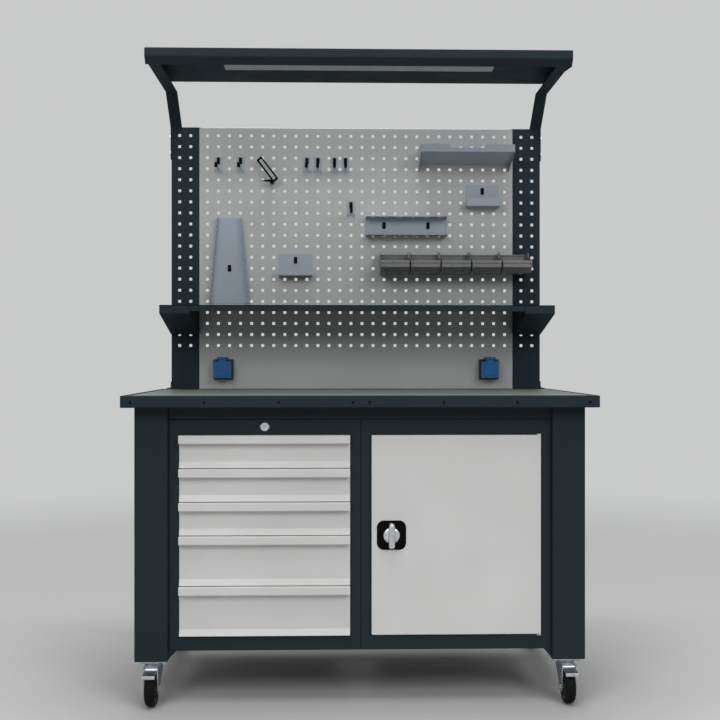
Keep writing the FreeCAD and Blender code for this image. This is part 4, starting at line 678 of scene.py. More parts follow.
def perforated_upright(node, sign):
    low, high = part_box(node)
    front, depth = low.y, high.y - low.y
    bm = bmesh.new()
    middle = sign * UPRIGHT_MIDDLE
    add_mesh(bm, perforated_field(
        UPRIGHT_COLUMNS, UPRIGHT_ROWS, middle, TOP_ROW, front, UPRIGHT_SHEET, "anthracite_paint",
    ))
    half = UPRIGHT_COLUMNS * HOLE_PITCH / 2
    for edge, way in ((low.x, -1), (high.x, 1)):
        start = middle + way * half
        section = thick_section(folded_section(abs(edge - start), depth, BEND), UPRIGHT_SHEET)
        pulled_strip(bm, section, (start, front, low.z), (way, 0, 0), (0, 1, 0), (0, 0, high.z - low.z))
    upper = TOP_ROW + HOLE_PITCH / 2
    lower = TOP_ROW - (UPRIGHT_ROWS - 0.5) * HOLE_PITCH
    for bottom, top in ((low.z, lower), (upper, high.z)):
        plain_strip(bm, (middle - half, front, bottom), (middle + half, front + UPRIGHT_SHEET, top))
    finish_piece(f"{node}_channel", bm, "anthracite_paint", "frame", (node,))
    print(node, UPRIGHT_ROWS * UPRIGHT_COLUMNS, "holes")


perforated_upright("upright_left", -1)
perforated_upright("upright_right", 1)

# %% [markdown]
# Turned and moulded forms. A wheel, a rose or a screw head is a profile spun about an axis; a moulded piece
# is a block whose edges are all rounded. Both are short helpers that give a bmesh back, so that several forms
# can be joined into one piece.

# %% Turned forms and rounded blocks
AXIS_TURN = {
    "x": Matrix.Rotation(QUARTER, 4, "Y"),
    "-y": Matrix.Rotation(QUARTER, 4, "X"),
    "z": Matrix.Identity(4),
}


def turned(profile, segments=48):
    """A form spun about Z from (radius, height) points; a radius of 0 closes it on the axis."""
    bm = bmesh.new()
    angles = [2.0 * math.pi * i / segments for i in range(segments)]
    rings = []
    for radius, height in profile:
        spots = angles if radius > 0 else [0.0]
        rings.append([bm.verts.new((radius * math.cos(a), radius * math.sin(a), height)) for a in spots])
    if profile[0] == profile[-1] and profile[0][0] > 0:
        bmesh.ops.delete(bm, geom=rings[-1], context="VERTS")
        rings[-1] = rings[0]
    for low, high in zip(rings, rings[1:]):
        for i in range(segments):
            j = (i + 1) % segments
            corners = (low[i % len(low)], low[j % len(low)], high[j % len(high)], high[i % len(high)])
            bm.faces.new(list(dict.fromkeys(corners)))
    bmesh.ops.recalc_face_normals(bm, faces=bm.faces)
    return bm


def both_sides(half):
    """A closed profile that is alike on both sides of z = 0, from the points of its upper side."""
    lower = [(radius, -height) for radius, height in half]
    return lower + half[::-1] + lower[:1]


def rounded_block(low, high, radius, segments=3):
    bm = bmesh.new()
    plain_strip(bm, low, high)
    bmesh.ops.bevel(bm, geom=bm.edges, offset=radius, segments=segments, profile=0.5, affect="EDGES")
    return bm


def placed(form, matrix):
    """The same form, set in place by a matrix."""
    form.transform(matrix)
    return form


def join_into(bm, other):
    """Adds another form to bm; the other form itself goes."""
    add_mesh(bm, mesh_of("form", other))


def along(axis, place):
    return Matrix.Translation(place) @ AXIS_TURN[axis]


print("turned forms can lie along", ", ".join(AXIS_TURN))

# %% [markdown]
# Castors. The tyre is solid rubber with round shoulders on a plastic wheel body with a dished web. A cylinder
# with a bevel would have neither the crown nor the web; two spun outlines give both. Each wheel rides on its
# own body, so tyre and hub spin together.

# %% Wheels
CORNERS = ("front_left", "front_right", "rear_left", "rear_right")
WHEEL_SEGMENTS = 64
WHEEL_RADIUS = 0.05
HALF_TREAD = 0.015
SHOULDER = 0.009
SHOULDER_STEPS = 8
RIM_RADIUS = 0.037
BEAD_RISE = 0.003
BEAD_CHAMFER = 0.002
HUB_HALF = 0.0182
HUB_SIDE = [
    (0.0052, HUB_HALF), (0.012, HUB_HALF), (0.014, 0.016), (0.0145, 0.009), (0.029, 0.0075),
    (0.032, 0.0125), (RIM_RADIUS, 0.0128),
]


def tyre_profile():
    points = [(RIM_RADIUS, BEAD_CHAMFER - HALF_TREAD), (RIM_RADIUS + BEAD_RISE, -HALF_TREAD)]
    for step in range(SHOULDER_STEPS + 1):
        angle = math.radians(180.0 * step / SHOULDER_STEPS - 90.0)
        points.append((WHEEL_RADIUS - SHOULDER + SHOULDER * math.cos(angle), HALF_TREAD * math.sin(angle)))
    points += [(RIM_RADIUS + BEAD_RISE, HALF_TREAD), (RIM_RADIUS, HALF_TREAD - BEAD_CHAMFER)]
    return points + points[:1]


for corner in CORNERS:
    centre = joint_at[f"wheel_spin_{corner}"]
    tyre = placed(turned(tyre_profile(), WHEEL_SEGMENTS), along("x", centre))
    finish_piece(f"castor_tyre_{corner}", tyre, "tyre", f"wheel_{corner}", (f"castor_wheel_{corner}",))
    hub = placed(turned(both_sides(HUB_SIDE), WHEEL_SEGMENTS), along("x", centre))
    finish_piece(f"castor_hub_{corner}", hub, "dark_plastic", f"wheel_{corner}")
    print("wheel", corner, "at", [round(v, 4) for v in centre])

# %% [markdown]
# A fork is pressed from thick sheet with tight bends, so they are rounded less than the other folds. The
# swivel bearing above it shows as a bright ring with a groove between its two races, so the ring is turned
# from an outline; a plain torus would lack the groove.

# %% Forks, pedals and swivel rings
FORK_GAUGE = (0.003, 0.0012)
PEDAL_GAUGE = (0.001, 0.0012)
RING_PROFILE = [
    (0.026, 0.0), (0.0308, 0.0005), (0.0318, 0.003), (0.0305, 0.0045), (0.0305, 0.006), (0.0318, 0.0075),
    (0.0308, 0.0098), (0.026, 0.0102), (0.026, 0.0),
]
RING_FOOT = 0.1131
for corner in CORNERS:
    folded(FORK_GAUGE, f"castor_fork_{corner}")
    axis = joint_at[f"castor_swivel_{corner}"]
    ring = placed(turned(RING_PROFILE), along("z", (axis.x, axis.y, RING_FOOT)))
    finish_piece(f"swivel_ring_{corner}", ring, "zinc", f"fork_{corner}")
folded(PEDAL_GAUGE, "brake_pedal_left", "brake_pedal_right")

# %% [markdown]
# Sockets. The body is a dark moulded box with a round well; the blue lid is a soft-edged cap with a raised
# field, a finger lip at its foot and an eye on top, where its pin goes through. Carving these out of one
# block takes many cuts. Rounded blocks that sink a little into each other look the same and are quickly
# moved.

# %% Socket lids
SOCKET_GAUGE = (0.001, 0.002)
LID_THICK = 0.006
LID_BACK = 0.0017
LID_DROP = 0.0103
LID_EDGE = 0.0018
FIELD_HALF = 0.022
FIELD_BELOW_TOP = 0.0042
FIELD_EDGE = 0.0015
LIP_HALF = 0.012
LIP_HIGH = 0.006
LIP_EDGE = 0.0012
LIP_GAP = 0.001
RISE, SUNK = 0.0016, 0.001
NECK_HALF = 0.0136
NECK_LAP = 0.004
NECK_INSET = 0.0006
NECK_EDGE = 0.001
EYE_SIDE = [(0.00256, NECK_HALF), (0.0052, NECK_HALF), (0.006, NECK_HALF - 0.001)]


def socket_lid(side):
    low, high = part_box(f"socket_lid_{side}")
    axis = joint_at[f"lid_{side}_hinge"]
    middle = (low.x + high.x) / 2
    top, back = axis.z - LID_DROP, axis.y + LID_BACK
    front = back - LID_THICK
    cap = rounded_block((low.x, front, low.z), (high.x, back, top), LID_EDGE)
    field = (FIELD_HALF, low.z + LIP_HIGH + LIP_GAP, top - FIELD_BELOW_TOP, FIELD_EDGE)
    lip = (LIP_HALF, low.z, low.z + LIP_HIGH, LIP_EDGE)
    for half, foot, head, radius in (field, lip):
        raised_low = (middle - half, front - RISE, foot)
        join_into(cap, rounded_block(raised_low, (middle + half, front + SUNK, head), radius))
    neck_low = (middle - NECK_HALF, front + NECK_INSET, top - NECK_LAP)
    join_into(cap, rounded_block(neck_low, (middle + NECK_HALF, back, axis.z), NECK_EDGE))
    eye = turned(both_sides(EYE_SIDE), segments=32)
    join_into(cap, placed(eye, along("x", (middle, axis.y, axis.z))))
    finish_piece(f"socket_lid_{side}_cap", cap, "blue_plastic", f"lid_{side}", (f"socket_lid_{side}",))
    print("socket lid", side, "hangs at", [round(v, 4) for v in axis])


for side in ("left", "right"):
    socket_lid(side)
folded(SOCKET_GAUGE, "socket_bodies")

# %% [markdown]
# Handle plate. It is a black square with round corners, a soft rim and a shallow dish round the handle. A
# block with rounded edges has no dish, so the plate is built up in layers: each is a square with its own
# inset, corner radius and height.

# %% Handle plate
PLATE_LOW, PLATE_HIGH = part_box("door_handle_plate")
HANDLE_AT = joint_at["handle_turn"]
PLATE_HALF = (PLATE_HIGH.x - PLATE_LOW.x) / 2
PLATE_LAYERS = (
    (0.0, 0.02, 0.0), (0.0, 0.02, 0.0012), (0.0014, 0.0188, 0.0027), (0.004, 0.0165, 0.003),
    (0.0075, 0.0135, 0.0026), (0.009, 0.012, 0.0021),
)


def rounded_square(half, radius, steps=6):
    """Points of a square with round corners, anticlockwise."""
    points = []
    for quarter, (sx, sy) in enumerate(((1, 1), (-1, 1), (-1, -1), (1, -1))):
        for step in range(steps + 1):
            angle = math.radians(90 * quarter + 90.0 * step / steps)
            u = sx * (half - radius) + radius * math.cos(angle)
            v = sy * (half - radius) + radius * math.sin(angle)
            points.append((u, v))
    return points


def layered_form(layers):
    """A form made of equal rings of points, each at its own height, closed at both ends."""
    bm = bmesh.new()
    rings = [[bm.verts.new((u, v, height)) for u, v in ring] for ring, height in layers]
    bm.faces.new(rings[0][::-1])
    bm.faces.new(rings[-1])
    for low, high in zip(rings, rings[1:]):
        for i in range(len(low)):
            j = (i + 1) % len(low)
            bm.faces.new((low[i], low[j], high[j], high[i]))
    bmesh.ops.recalc_face_normals(bm, faces=bm.faces)
    return bm


plate = layered_form([
    (rounded_square(PLATE_HALF - inset, radius), height) for inset, radius, height in PLATE_LAYERS
])
plate = placed(plate, along("-y", (HANDLE_AT.x, PLATE_HIGH.y, HANDLE_AT.z)))
finish_piece("handle_plate_moulded", plate, "black_plastic", "door", ("door_handle_plate",))
print("handle plate", round(2 * PLATE_HALF, 4), "m wide, of", len(PLATE_LAYERS), "layers")

# %% [markdown]
# Handle. A satin rose lies on the plate, and a wing with round ends stands on the rose. The wing is made of
# layers too, a little slimmer at its foot and towards its face. A spindle goes from the rose through the
# door.

# %% Door handle
ROSE_GAP = 0.0003
ROSE_BACK = PLATE_LOW.y - ROSE_GAP
SPINDLE_RADIUS = 0.006
SPINDLE_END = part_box("door_handle")[1].y
SPINDLE_LONG = SPINDLE_END - ROSE_BACK
ROSE_PROFILE = [
    (0.0, 0.0), (0.0222, 0.0), (0.0232, 0.001), (0.0232, 0.0045), (0.0222, 0.006), (0.019, 0.0078),
    (0.012, 0.009), (0.0, 0.0092),
]
WING_LAYERS = (
    (0.0092, 0.0345, 0.0035), (0.0099, 0.0372, 0.006), (0.0099, 0.0372, 0.0125), (0.0095, 0.036, 0.0185),
    (0.0088, 0.034, 0.0225), (0.0076, 0.0315, 0.0244),
)


def wing_ring(half_width, half_length, steps=8):
    """A long ring with round ends."""
    points = []
    for end in (1, -1):
        for step in range(steps + 1):
            angle = math.radians(180.0 * step / steps) + (0.0 if end > 0 else math.pi)
            v = end * (half_length - half_width) + half_width * math.sin(angle)
            points.append((half_width * math.cos(angle), v))
    return points


def round_bar(radius, length, segments):
    return turned([(0.0, 0.0), (radius, 0.0), (radius, length), (0.0, length)], segments)


on_plate = along("-y", (HANDLE_AT.x, ROSE_BACK, HANDLE_AT.z))
handle = placed(turned(ROSE_PROFILE, segments=56), on_plate)
wing = layered_form([(wing_ring(width, length), height) for width, length, height in WING_LAYERS])
join_into(handle, placed(wing, on_plate))
spindle = round_bar(SPINDLE_RADIUS, SPINDLE_LONG, segments=32)
join_into(handle, placed(spindle, along("-y", (HANDLE_AT.x, SPINDLE_END, HANDLE_AT.z))))
finish_piece("door_handle_satin", handle, "chrome", "handle", ("door_handle",))
print("door handle with a spindle", round(SPINDLE_LONG, 4), "m long")

# %% [markdown]
# Drawer lock. Its collar has a bore for the plug, a soft bevel on its face and a barrel that goes through the
# rail. A cylinder with a hole would need a cut and two bevels; spun from one profile, it needs neither. The
# profile is drawn from the barrel's end to the face and back.

# %% Drawer lock
LOCK_AT = joint_at["lock_turn"]
lock_low, lock_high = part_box("drawer_lock_body")
lock_long = lock_high.y - lock_low.y
LOCK_BORE = 0.0071
LOCK_BARREL = 0.0083
COLLAR_THICK = 0.004
COLLAR_FOOT = lock_long - COLLAR_THICK
LOCK_PROFILE = [
    (LOCK_BORE, 0.0), (LOCK_BORE, lock_long - 0.0006), (0.0085, lock_long - 0.0001),
    (0.0115, lock_long - 0.0004), (0.0132, lock_long - 0.0018), (0.0135, COLLAR_FOOT),
    (LOCK_BARREL, COLLAR_FOOT), (LOCK_BARREL, 0.0), (LOCK_BORE, 0.0),
]
collar = placed(turned(LOCK_PROFILE), along("-y", (LOCK_AT.x, lock_high.y, LOCK_AT.z)))
finish_piece("lock_collar", collar, "chrome", "frame", ("drawer_lock_body",))
print("lock", round(lock_long, 4), "m long")

# %% [markdown]
# Fasteners. A bench like this has dozens of equal screws and clips. One head is modelled and a small node
# tree sets it on a list of points, turned the same way, then makes the copies real so that they can be
# exported.

# %% A node tree that sets a form on points
def repeated_tree():
    tree = bpy.data.node_groups.new("set_on_points", "GeometryNodeTree")
    keys = add_inputs(tree, (
        ("Geometry", "NodeSocketGeometry"), ("Form", "NodeSocketObject"), ("Turn", "NodeSocketRotation"),
        ("Size", "NodeSocketFloat"), ("Finish", "NodeSocketMaterial"),
    ))
    make, link = tree.nodes.new, tree.links.new
    given = make("NodeGroupInput").outputs
    form = make("GeometryNodeObjectInfo")
    link(given["Form"], form.inputs["Object"])
    copies = make("GeometryNodeInstanceOnPoints")
    link(given["Geometry"], copies.inputs["Points"])
    link(form.outputs["Geometry"], copies.inputs["Instance"])
    link(given["Turn"], copies.inputs["Rotation"])
    link(given["Size"], copies.inputs["Scale"])
    real = make("GeometryNodeRealizeInstances")
    link(copies.outputs["Instances"], real.inputs["Geometry"])
    painted = make("GeometryNodeSetMaterial")
    link(real.outputs["Geometry"], painted.inputs["Geometry"])
    link(given["Finish"], painted.inputs["Material"])
    link(painted.outputs["Geometry"], make("NodeGroupOutput").inputs["Geometry"])
    return tree, keys


REPEATED, REPEATED_KEYS = repeated_tree()


def set_on_points(name, form, points, turn, slot, body, size=1.0):
    """Copies of a form at points, all turned alike, as one piece."""
    mould = new_object("mould", mesh_of("mould", form))
    mesh = bpy.data.meshes.new(name)
    mesh.from_pydata([tuple(p) for p in points], [], [])
    copies = tree_mesh(new_object(name, mesh), REPEATED, REPEATED_KEYS, {
        "Form": mould, "Turn": turn, "Size": size, "Finish": FINISHES[slot],
    })
    bpy.data.objects.remove(mould)
    finish_mesh(name, copies, slot, body)
    print(name, len(points), "copies")


print("node tree", REPEATED.name, "with", len(REPEATED.nodes), "nodes")

# %% [markdown]
# Two heads are needed. A bolt has a six-sided head on a washer; it is a turned form with only six segments. A
# screw has a domed head, with a round recess where a real one has its socket: at this size no more shows.

# %% Heads of bolts and screws
PAN_PROFILE = [
    (0.0, 0.0), (0.0052, 0.0), (0.0052, 0.0007), (0.0046, 0.0018), (0.0034, 0.0026), (0.0021, 0.0029),
    (0.0021, 0.0012), (0.0, 0.0012),
]
WASHER_RADIUS, WASHER_THICK = 0.0095, 0.0013
HEX_PROFILE = [(0.0, 0.001), (0.0064, 0.001), (0.0064, 0.0048), (0.0054, 0.0056), (0.0, 0.0056)]


def pan_head():
    """A domed screw head, standing on z = 0."""
    return turned(PAN_PROFILE, segments=18)


def hex_head():
    """A six-sided head on a round washer, standing on z = 0."""
    head = round_bar(WASHER_RADIUS, WASHER_THICK, segments=24)
    join_into(head, turned(HEX_PROFILE, segments=6))
    return head


print("screw heads", 2 * PAN_PROFILE[1][0], "m wide, washers", 2 * WASHER_RADIUS, "m")

# %% [markdown]
# Screws go where a bench of this kind is bolted. Most of their places are counted from the boxes of the nodes
# that they hold, so they stay on them. A head is modelled standing up and is turned to the side that it looks
# to. Two bolts on each side hold a canopy arm to its upright.

# %% Bolts of the canopy arms
TOWARDS_FRONT = (QUARTER, 0.0, 0.0)
TOWARDS_BACK = (-QUARTER, 0.0, 0.0)
TOWARDS_LEFT = (0.0, -QUARTER, 0.0)
TOWARDS_RIGHT = (0.0, QUARTER, 0.0)
UPWARDS = (0.0, 0.0, 0.0)
ARM_BOLT_DROPS = (0.03, 0.085)
ARM_BOLT_INSET = 0.019
arms_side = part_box("canopy_arms")[1].x
upright_low, upright_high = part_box("upright_left")
for label, sign, turn in (("right", 1, TOWARDS_RIGHT), ("left", -1, TOWARDS_LEFT)):
    bolt_x, bolt_y = sign * arms_side, upright_low.y + ARM_BOLT_INSET
    arm_points = [(bolt_x, bolt_y, upright_high.z - drop) for drop in ARM_BOLT_DROPS]
    set_on_points(f"arm_bolts_{label}", hex_head(), arm_points, turn, "zinc", "frame")

# %% [markdown]
# Each upright stands on a foot, which two smaller bolts hold to the worktop from above. Four screws hold each
# end bracket of the shelf to its upright.

# %% Bolts of the feet and screws of the brackets
SIDES = (-1, 1)
FOOT_BOLT_INSET = 0.0095
FOOT_SHEET = 0.003
FOOT_BOLTS_Y = (0.323, 0.338)
FOOT_BOLT_SIZE = 0.75
BRACKET_SHEET = 0.002
BRACKET_INSETS = (0.03, 0.07)
BRACKET_RISES = (0.03, 0.06)

feet_low, feet_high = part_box("upright_feet")
foot_x, foot_z = feet_high.x - FOOT_BOLT_INSET, feet_low.z + FOOT_SHEET
feet_points = [(sign * foot_x, y, foot_z) for sign in SIDES for y in FOOT_BOLTS_Y]
set_on_points("foot_bolts", hex_head(), feet_points, UPWARDS, "zinc", "frame", FOOT_BOLT_SIZE)

bracket_low, bracket_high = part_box("shelf_brackets")
bracket_points = [
    (sign * (bracket_high.x - inset), bracket_high.y - BRACKET_SHEET, bracket_low.z + rise)
    for sign in SIDES for inset in BRACKET_INSETS for rise in BRACKET_RISES
]
set_on_points("bracket_screws", pan_head(), bracket_points, TOWARDS_FRONT, "zinc", "frame")

# %% [markdown]
# The cabinets' backs are riveted along their rims, and the rivets are painted with them. One list of places
# on the right cabinet is mirrored to the left one.

# %% Rivets of the cabinet backs
RIVET_COLUMNS = (0.045, 0.16, 0.275, 0.39, 0.505)
RIVET_ROWS = (0.212, 0.35, 0.486, 0.622, 0.76)
RIVET_SIZE = 0.8
cabinet_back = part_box("drawer_cabinet")[1].y
along_rims = [(x, z) for x in RIVET_COLUMNS for z in (RIVET_ROWS[0], RIVET_ROWS[-1])]
along_rims += [(x, z) for x in (RIVET_COLUMNS[0], RIVET_COLUMNS[-1]) for z in RIVET_ROWS[1:-1]]
back_points = [(sign * x, cabinet_back, z) for sign in SIDES for x, z in along_rims]
set_on_points(
    "cabinet_back_rivets", pan_head(), back_points, TOWARDS_BACK, "anthracite_paint", "frame", RIVET_SIZE,
)

# %% [markdown]
# Clips. Racks and hooks are kept from jumping out of their holes by small black clips: a rounded body with a
# thumb ridge. The places on the racks are listed, one or two for each rack.

# %% Clips of the racks
RACK_SHEET = 0.0015
RACK_CLIPS = ((0.095, 1.452), (0.247, 1.452), (0.435, 1.572), (-0.21, 1.332), (-0.437, 1.304))
CLIP_LOW, CLIP_HIGH, CLIP_EDGE = (-0.0055, -0.011, 0.0), (0.0055, 0.011, 0.0042), 0.0012
RIDGE_LOW, RIDGE_HIGH, RIDGE_EDGE = (-0.0045, -0.009, 0.003), (0.0045, -0.0055, 0.0062), 0.0009


def clip_form():
    clip = rounded_block(CLIP_LOW, CLIP_HIGH, CLIP_EDGE, segments=2)
    join_into(clip, rounded_block(RIDGE_LOW, RIDGE_HIGH, RIDGE_EDGE, segments=2))
    return clip


panel_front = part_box("tool_panel")[0].y
clip_points = [(x, panel_front - RACK_SHEET, z) for x, z in RACK_CLIPS]
set_on_points("rack_clips", clip_form(), clip_points, TOWARDS_FRONT, "black_plastic", "frame")

# %% [markdown]
# Hooks. A hook is a plate with a round rod and a plastic cap on its end. Hooks hang in the raster, so their
# places are given as columns from the middle and rows from the top.

# %% Hooks on the panel
HOOKS = ((-12.5, 3), (-10.5, 3), (-4.5, 3), (-3.5, 3), (-2.0, 3), (-1.0, 3), (-0.5, 7))
HOOK_PLATE = 0.002
HOOK_HALF = 0.013
HOOK_BELOW, HOOK_ABOVE = 0.009, 0.043
HOOK_EDGE = 0.0007
HOOK_CLIP_RISE = 0.027
ROD_RADIUS, ROD_LONG = 0.003, 0.063
CAP_GAUGE = (0.001, 0.0025)
hook_spots = [(column * HOLE_PITCH, TOP_ROW - row * HOLE_PITCH) for column, row in HOOKS]
plates, rods = bmesh.new(), bmesh.new()
for x, z in hook_spots:
    plate_low = (x - HOOK_HALF, panel_front - HOOK_PLATE, z - HOOK_BELOW)
    plate_high = (x + HOOK_HALF, panel_front, z + HOOK_ABOVE)
    join_into(plates, rounded_block(plate_low, plate_high, HOOK_EDGE, segments=2))
    rod = round_bar(ROD_RADIUS, ROD_LONG, segments=20)
    join_into(rods, placed(rod, along("-y", (x, panel_front - HOOK_PLATE / 2, z))))
finish_piece("hook_plates", plates, "rack_steel", "frame", ("hooks",))
finish_piece("hook_rods", rods, "zinc", "frame")
hook_points = [(x, panel_front - HOOK_PLATE, z + HOOK_CLIP_RISE) for x, z in hook_spots]
set_on_points("hook_clips", clip_form(), hook_points, TOWARDS_FRONT, "black_plastic", "frame")
folded(CAP_GAUGE, "hook_caps")

# %% [markdown]
# Bin rims. A moulded bin is stiffened by a rolled rim along its front, which catches the light, and by a low
# rib across the front face that holds a card. Its back wall rises above the sides, with a lip that hooks over
# the rail, and a round ear stiffens each rear corner. All of them overlap the walls a little, as rounded
# blocks and pulled outlines, which is simpler than extruding them out of the wall's own faces.

# %% Rims of the bins
BINS = 5
BIN_GAP = 0.004
BIN_WALL = 0.002
FRONT_WALL, BACK_RISE = 0.038, 0.013
ROLLED_RIM = (0.0, -0.008, 0.001, 0.003)
CARD_RIB = (0.014, -0.0215, -0.0185, 0.0015)
FRONT_EDGE, BACK_EDGE = 0.0012, 0.0008
EAR_RISE = 0.022
EAR_HALF = 0.018
EAR_STEPS = 12
bins_low, bins_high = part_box("bins")
bin_wide = (bins_high.x - bins_low.x - (BINS - 1) * BIN_GAP) / BINS
front_top = bins_low.z + FRONT_WALL
back_foot = bins_high.z - BIN_WALL
back_top = bins_high.z + BACK_RISE


def ear_outline():
    """A low arch in (y, z) over the rear end of a bin's side wall."""
    middle = bins_high.y - EAR_HALF
    turns = [math.radians(180.0 * step / EAR_STEPS) for step in range(EAR_STEPS + 1)]
    return [(middle - EAR_HALF * math.cos(a), back_foot + EAR_RISE * math.sin(a)) for a in turns]


rims = bmesh.new()
for i in range(BINS):
    left = bins_low.x + i * (bin_wide + BIN_GAP)
    right = left + bin_wide
    for inset, foot, head, proud in (ROLLED_RIM, CARD_RIB):
        rim_low = (left + inset, bins_low.y - proud, front_top + foot)
        rim_high = (right - inset, bins_low.y + BIN_WALL, front_top + head)
        join_into(rims, rounded_block(rim_low, rim_high, FRONT_EDGE, segments=2))
    for thick, foot in ((BIN_WALL, back_foot), (3 * BIN_WALL, back_top - 2 * BIN_WALL)):
        back_low = (left, bins_high.y - thick, foot)
        join_into(rims, rounded_block(back_low, (right, bins_high.y, back_top), BACK_EDGE, segments=2))
    for x in (left, right - BIN_WALL):
        pulled_strip(rims, ear_outline(), (x, 0, 0), (0, 1, 0), (0, 0, 1), (BIN_WALL, 0, 0))
finish_piece("bin_rims", rims, "bin_plastic", "frame")
print(BINS, "bins", round(bin_wide, 4), "m wide")

# %% [markdown]
# Lamp. Under the canopy hangs a slim housing with an opal cover. The cover is drawn with shallow prisms along
# its length, which a real diffuser has to spread the light, so its underside isn't a plain plate.

# %% Lamp diffuser
PRISMS = 14
PRISM_DEEP = 0.0012
COVER_INSET = 0.010
HOUSING_GAUGE = (0.001, 0.003)
cover_low, cover_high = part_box("lamp_diffuser")


def diffuser_section():
    """Outline in (y, z): flat on top, a row of shallow prisms below."""
    start, end = cover_low.y + COVER_INSET, cover_high.y - COVER_INSET
    pitch = (end - start) / PRISMS
    valley = cover_low.z + PRISM_DEEP
    points = [(cover_high.y, cover_high.z), (cover_low.y, cover_high.z)]
    for i in range(PRISMS):
        points += [(start + i * pitch, valley), (start + (i + 0.5) * pitch, cover_low.z)]
    return points + [(end, valley)]


cover = bmesh.new()
cover_pull = (cover_high.x - cover_low.x, 0, 0)
pulled_strip(cover, diffuser_section(), (cover_low.x, 0, 0), (0, 1, 0), (0, 0, 1), cover_pull)
finish_piece("lamp_cover", cover, "lamp_white", "frame", ("lamp_diffuser",))
folded(HOUSING_GAUGE, "lamp_housing")
print("lamp cover with", PRISMS, "prisms")

# %% [markdown]
# Worktop trim. The dark trim is a folded channel in two lengths, with a fine seam where they meet. Screws
# with countersunk heads under black caps hold it to the board. They lie in dimples, so that nothing stands
# proud of the edge: the dimples are cut out of the trim, and a slightly smaller head is set into each.

# %% Heads and cutters of the trim screws
SCREW_X = (0.0235, 0.232, 0.44, 0.6465)
SCREW_Z = 0.8687
SINK_RADIUS = 0.0044
SINK_DEPTH = 0.0016
SINK_FLOOR = 0.55
CUTTER_PROUD = 0.001
HEAD_PLAY = 0.0005
HEAD_SHALLOWER = 0.0002
HEAD_BELOW = 0.00025
trim_low, trim_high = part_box("edge_trim")


def sink_form(radius, depth, proud):
    """A cone below z = 0 with a flat floor; where it stands proud, a short cylinder above."""
    cone = [(0.0, -depth), (radius * SINK_FLOOR, -depth), (radius, 0.0)]
    rim = [(radius, proud)] if proud else []
    return turned([*cone, *rim, (0.0, proud)], segments=20)


def screw_places():
    for sign in SIDES:
        for x in SCREW_X:
            yield Matrix.Translation((sign * x, trim_low.y, SCREW_Z)) @ AXIS_TURN["-y"]
            yield Matrix.Translation((sign * x, trim_high.y, SCREW_Z)) @ Matrix.Rotation(-QUARTER, 4, "X")


cutters, heads = bmesh.new(), bmesh.new()
for place in screw_places():
    join_into(cutters, placed(sink_form(SINK_RADIUS, SINK_DEPTH, CUTTER_PROUD), place))
    head = sink_form(SINK_RADIUS - HEAD_PLAY, SINK_DEPTH - HEAD_SHALLOWER, 0.0)
    join_into(heads, placed(head, place @ Matrix.Translation((0, 0, -HEAD_BELOW))))
print(len(list(screw_places())), "screws in the trim")

# %% [markdown]
# The trim itself is folded like the other sheet, but parted at its seam first. A Boolean then cuts the
# dimples. Its exact solver takes a little longer than the fast one and leaves both lengths closed.

# %% Trim with its dimples
TRIM_GAUGE = (0.002, 0.0028)
TRIM_SEAM = 0.0004
trim_mesh, trim_bends = folded_mesh("edge_trim", *TRIM_GAUGE, seam=TRIM_SEAM)
cutter = new_object("cutter", mesh_of("cutter", cutters))
trim = new_object("trim", trim_mesh)
sinks = trim.modifiers.new("sinks", "BOOLEAN")
sinks.operation = "DIFFERENCE"
sinks.solver = "EXACT"
sinks.object = cutter
trim_cut = evaluated_mesh(trim)
bpy.data.objects.remove(cutter)
finish_mesh("edge_trim_folded", trim_cut, "anthracite_paint", "frame", ("edge_trim",))
finish_piece("trim_screws", heads, "black_plastic", "frame")
print("edge trim,", trim_bends, "bends, faces after cutting", len(trim_cut.polygons))

# %% [markdown]
# Studio floor. The photograph has a pale, even backdrop that runs into the floor. A wide disc carries the
# shadows; away from the bench it turns into the backdrop's own colour, so no horizon shows. That colour is
# only shown to the camera and to mirror and glass rays; shown to all, it would light the bench like a lamp.

# %% Where the floor turns into the backdrop
BACKDROP = (0.585, 0.59, 0.59)
FADE_FROM, FADE_TO = 1.0, 5.0


def seen_rays(tree):
    """1 for camera, mirror and glass rays, 0 for the rays that only carry light."""
    path = tree.nodes.new("ShaderNodeLightPath")
    seen = path.outputs["Is Camera Ray"]
    for kind in ("Is Glossy Ray", "Is Transmission Ray"):
        either = tree.nodes.new("ShaderNodeMath")
        either.operation = "MAXIMUM"
        tree.links.new(seen, either.inputs[0])
        tree.links.new(path.outputs[kind], either.inputs[1])
        seen = either.outputs["Value"]
    return seen


def backdrop_share(tree):
    """0 near the bench and 1 far from it, for the rays that see the backdrop."""
    make, link = tree.nodes.new, tree.links.new
    place = make("ShaderNodeTexCoord")
    distance = make("ShaderNodeVectorMath")
    distance.operation = "LENGTH"
    link(place.outputs["Object"], distance.inputs[0])
    fade = make("ShaderNodeMapRange")
    fade.interpolation_type = "SMOOTHSTEP"
    set_inputs(fade, {"From Min": FADE_FROM, "From Max": FADE_TO})
    link(distance.outputs["Value"], fade.inputs["Value"])
    share = make("ShaderNodeMath")
    share.operation = "MULTIPLY"
    link(fade.outputs["Result"], share.inputs[0])
    link(seen_rays(tree), share.inputs[1])
    return share.outputs["Value"]


print("backdrop", BACKDROP, "reached", FADE_TO, "m from the middle")

# %% [markdown]
# The floor's finish mixes a plain grey, which takes the shadows, with a glow in the backdrop's colour.

# %% Floor
FLOOR_GREY = (0.45, 0.45, 0.45)
FLOOR_ROUGHNESS = 0.75
FLOOR_RADIUS = 9.0


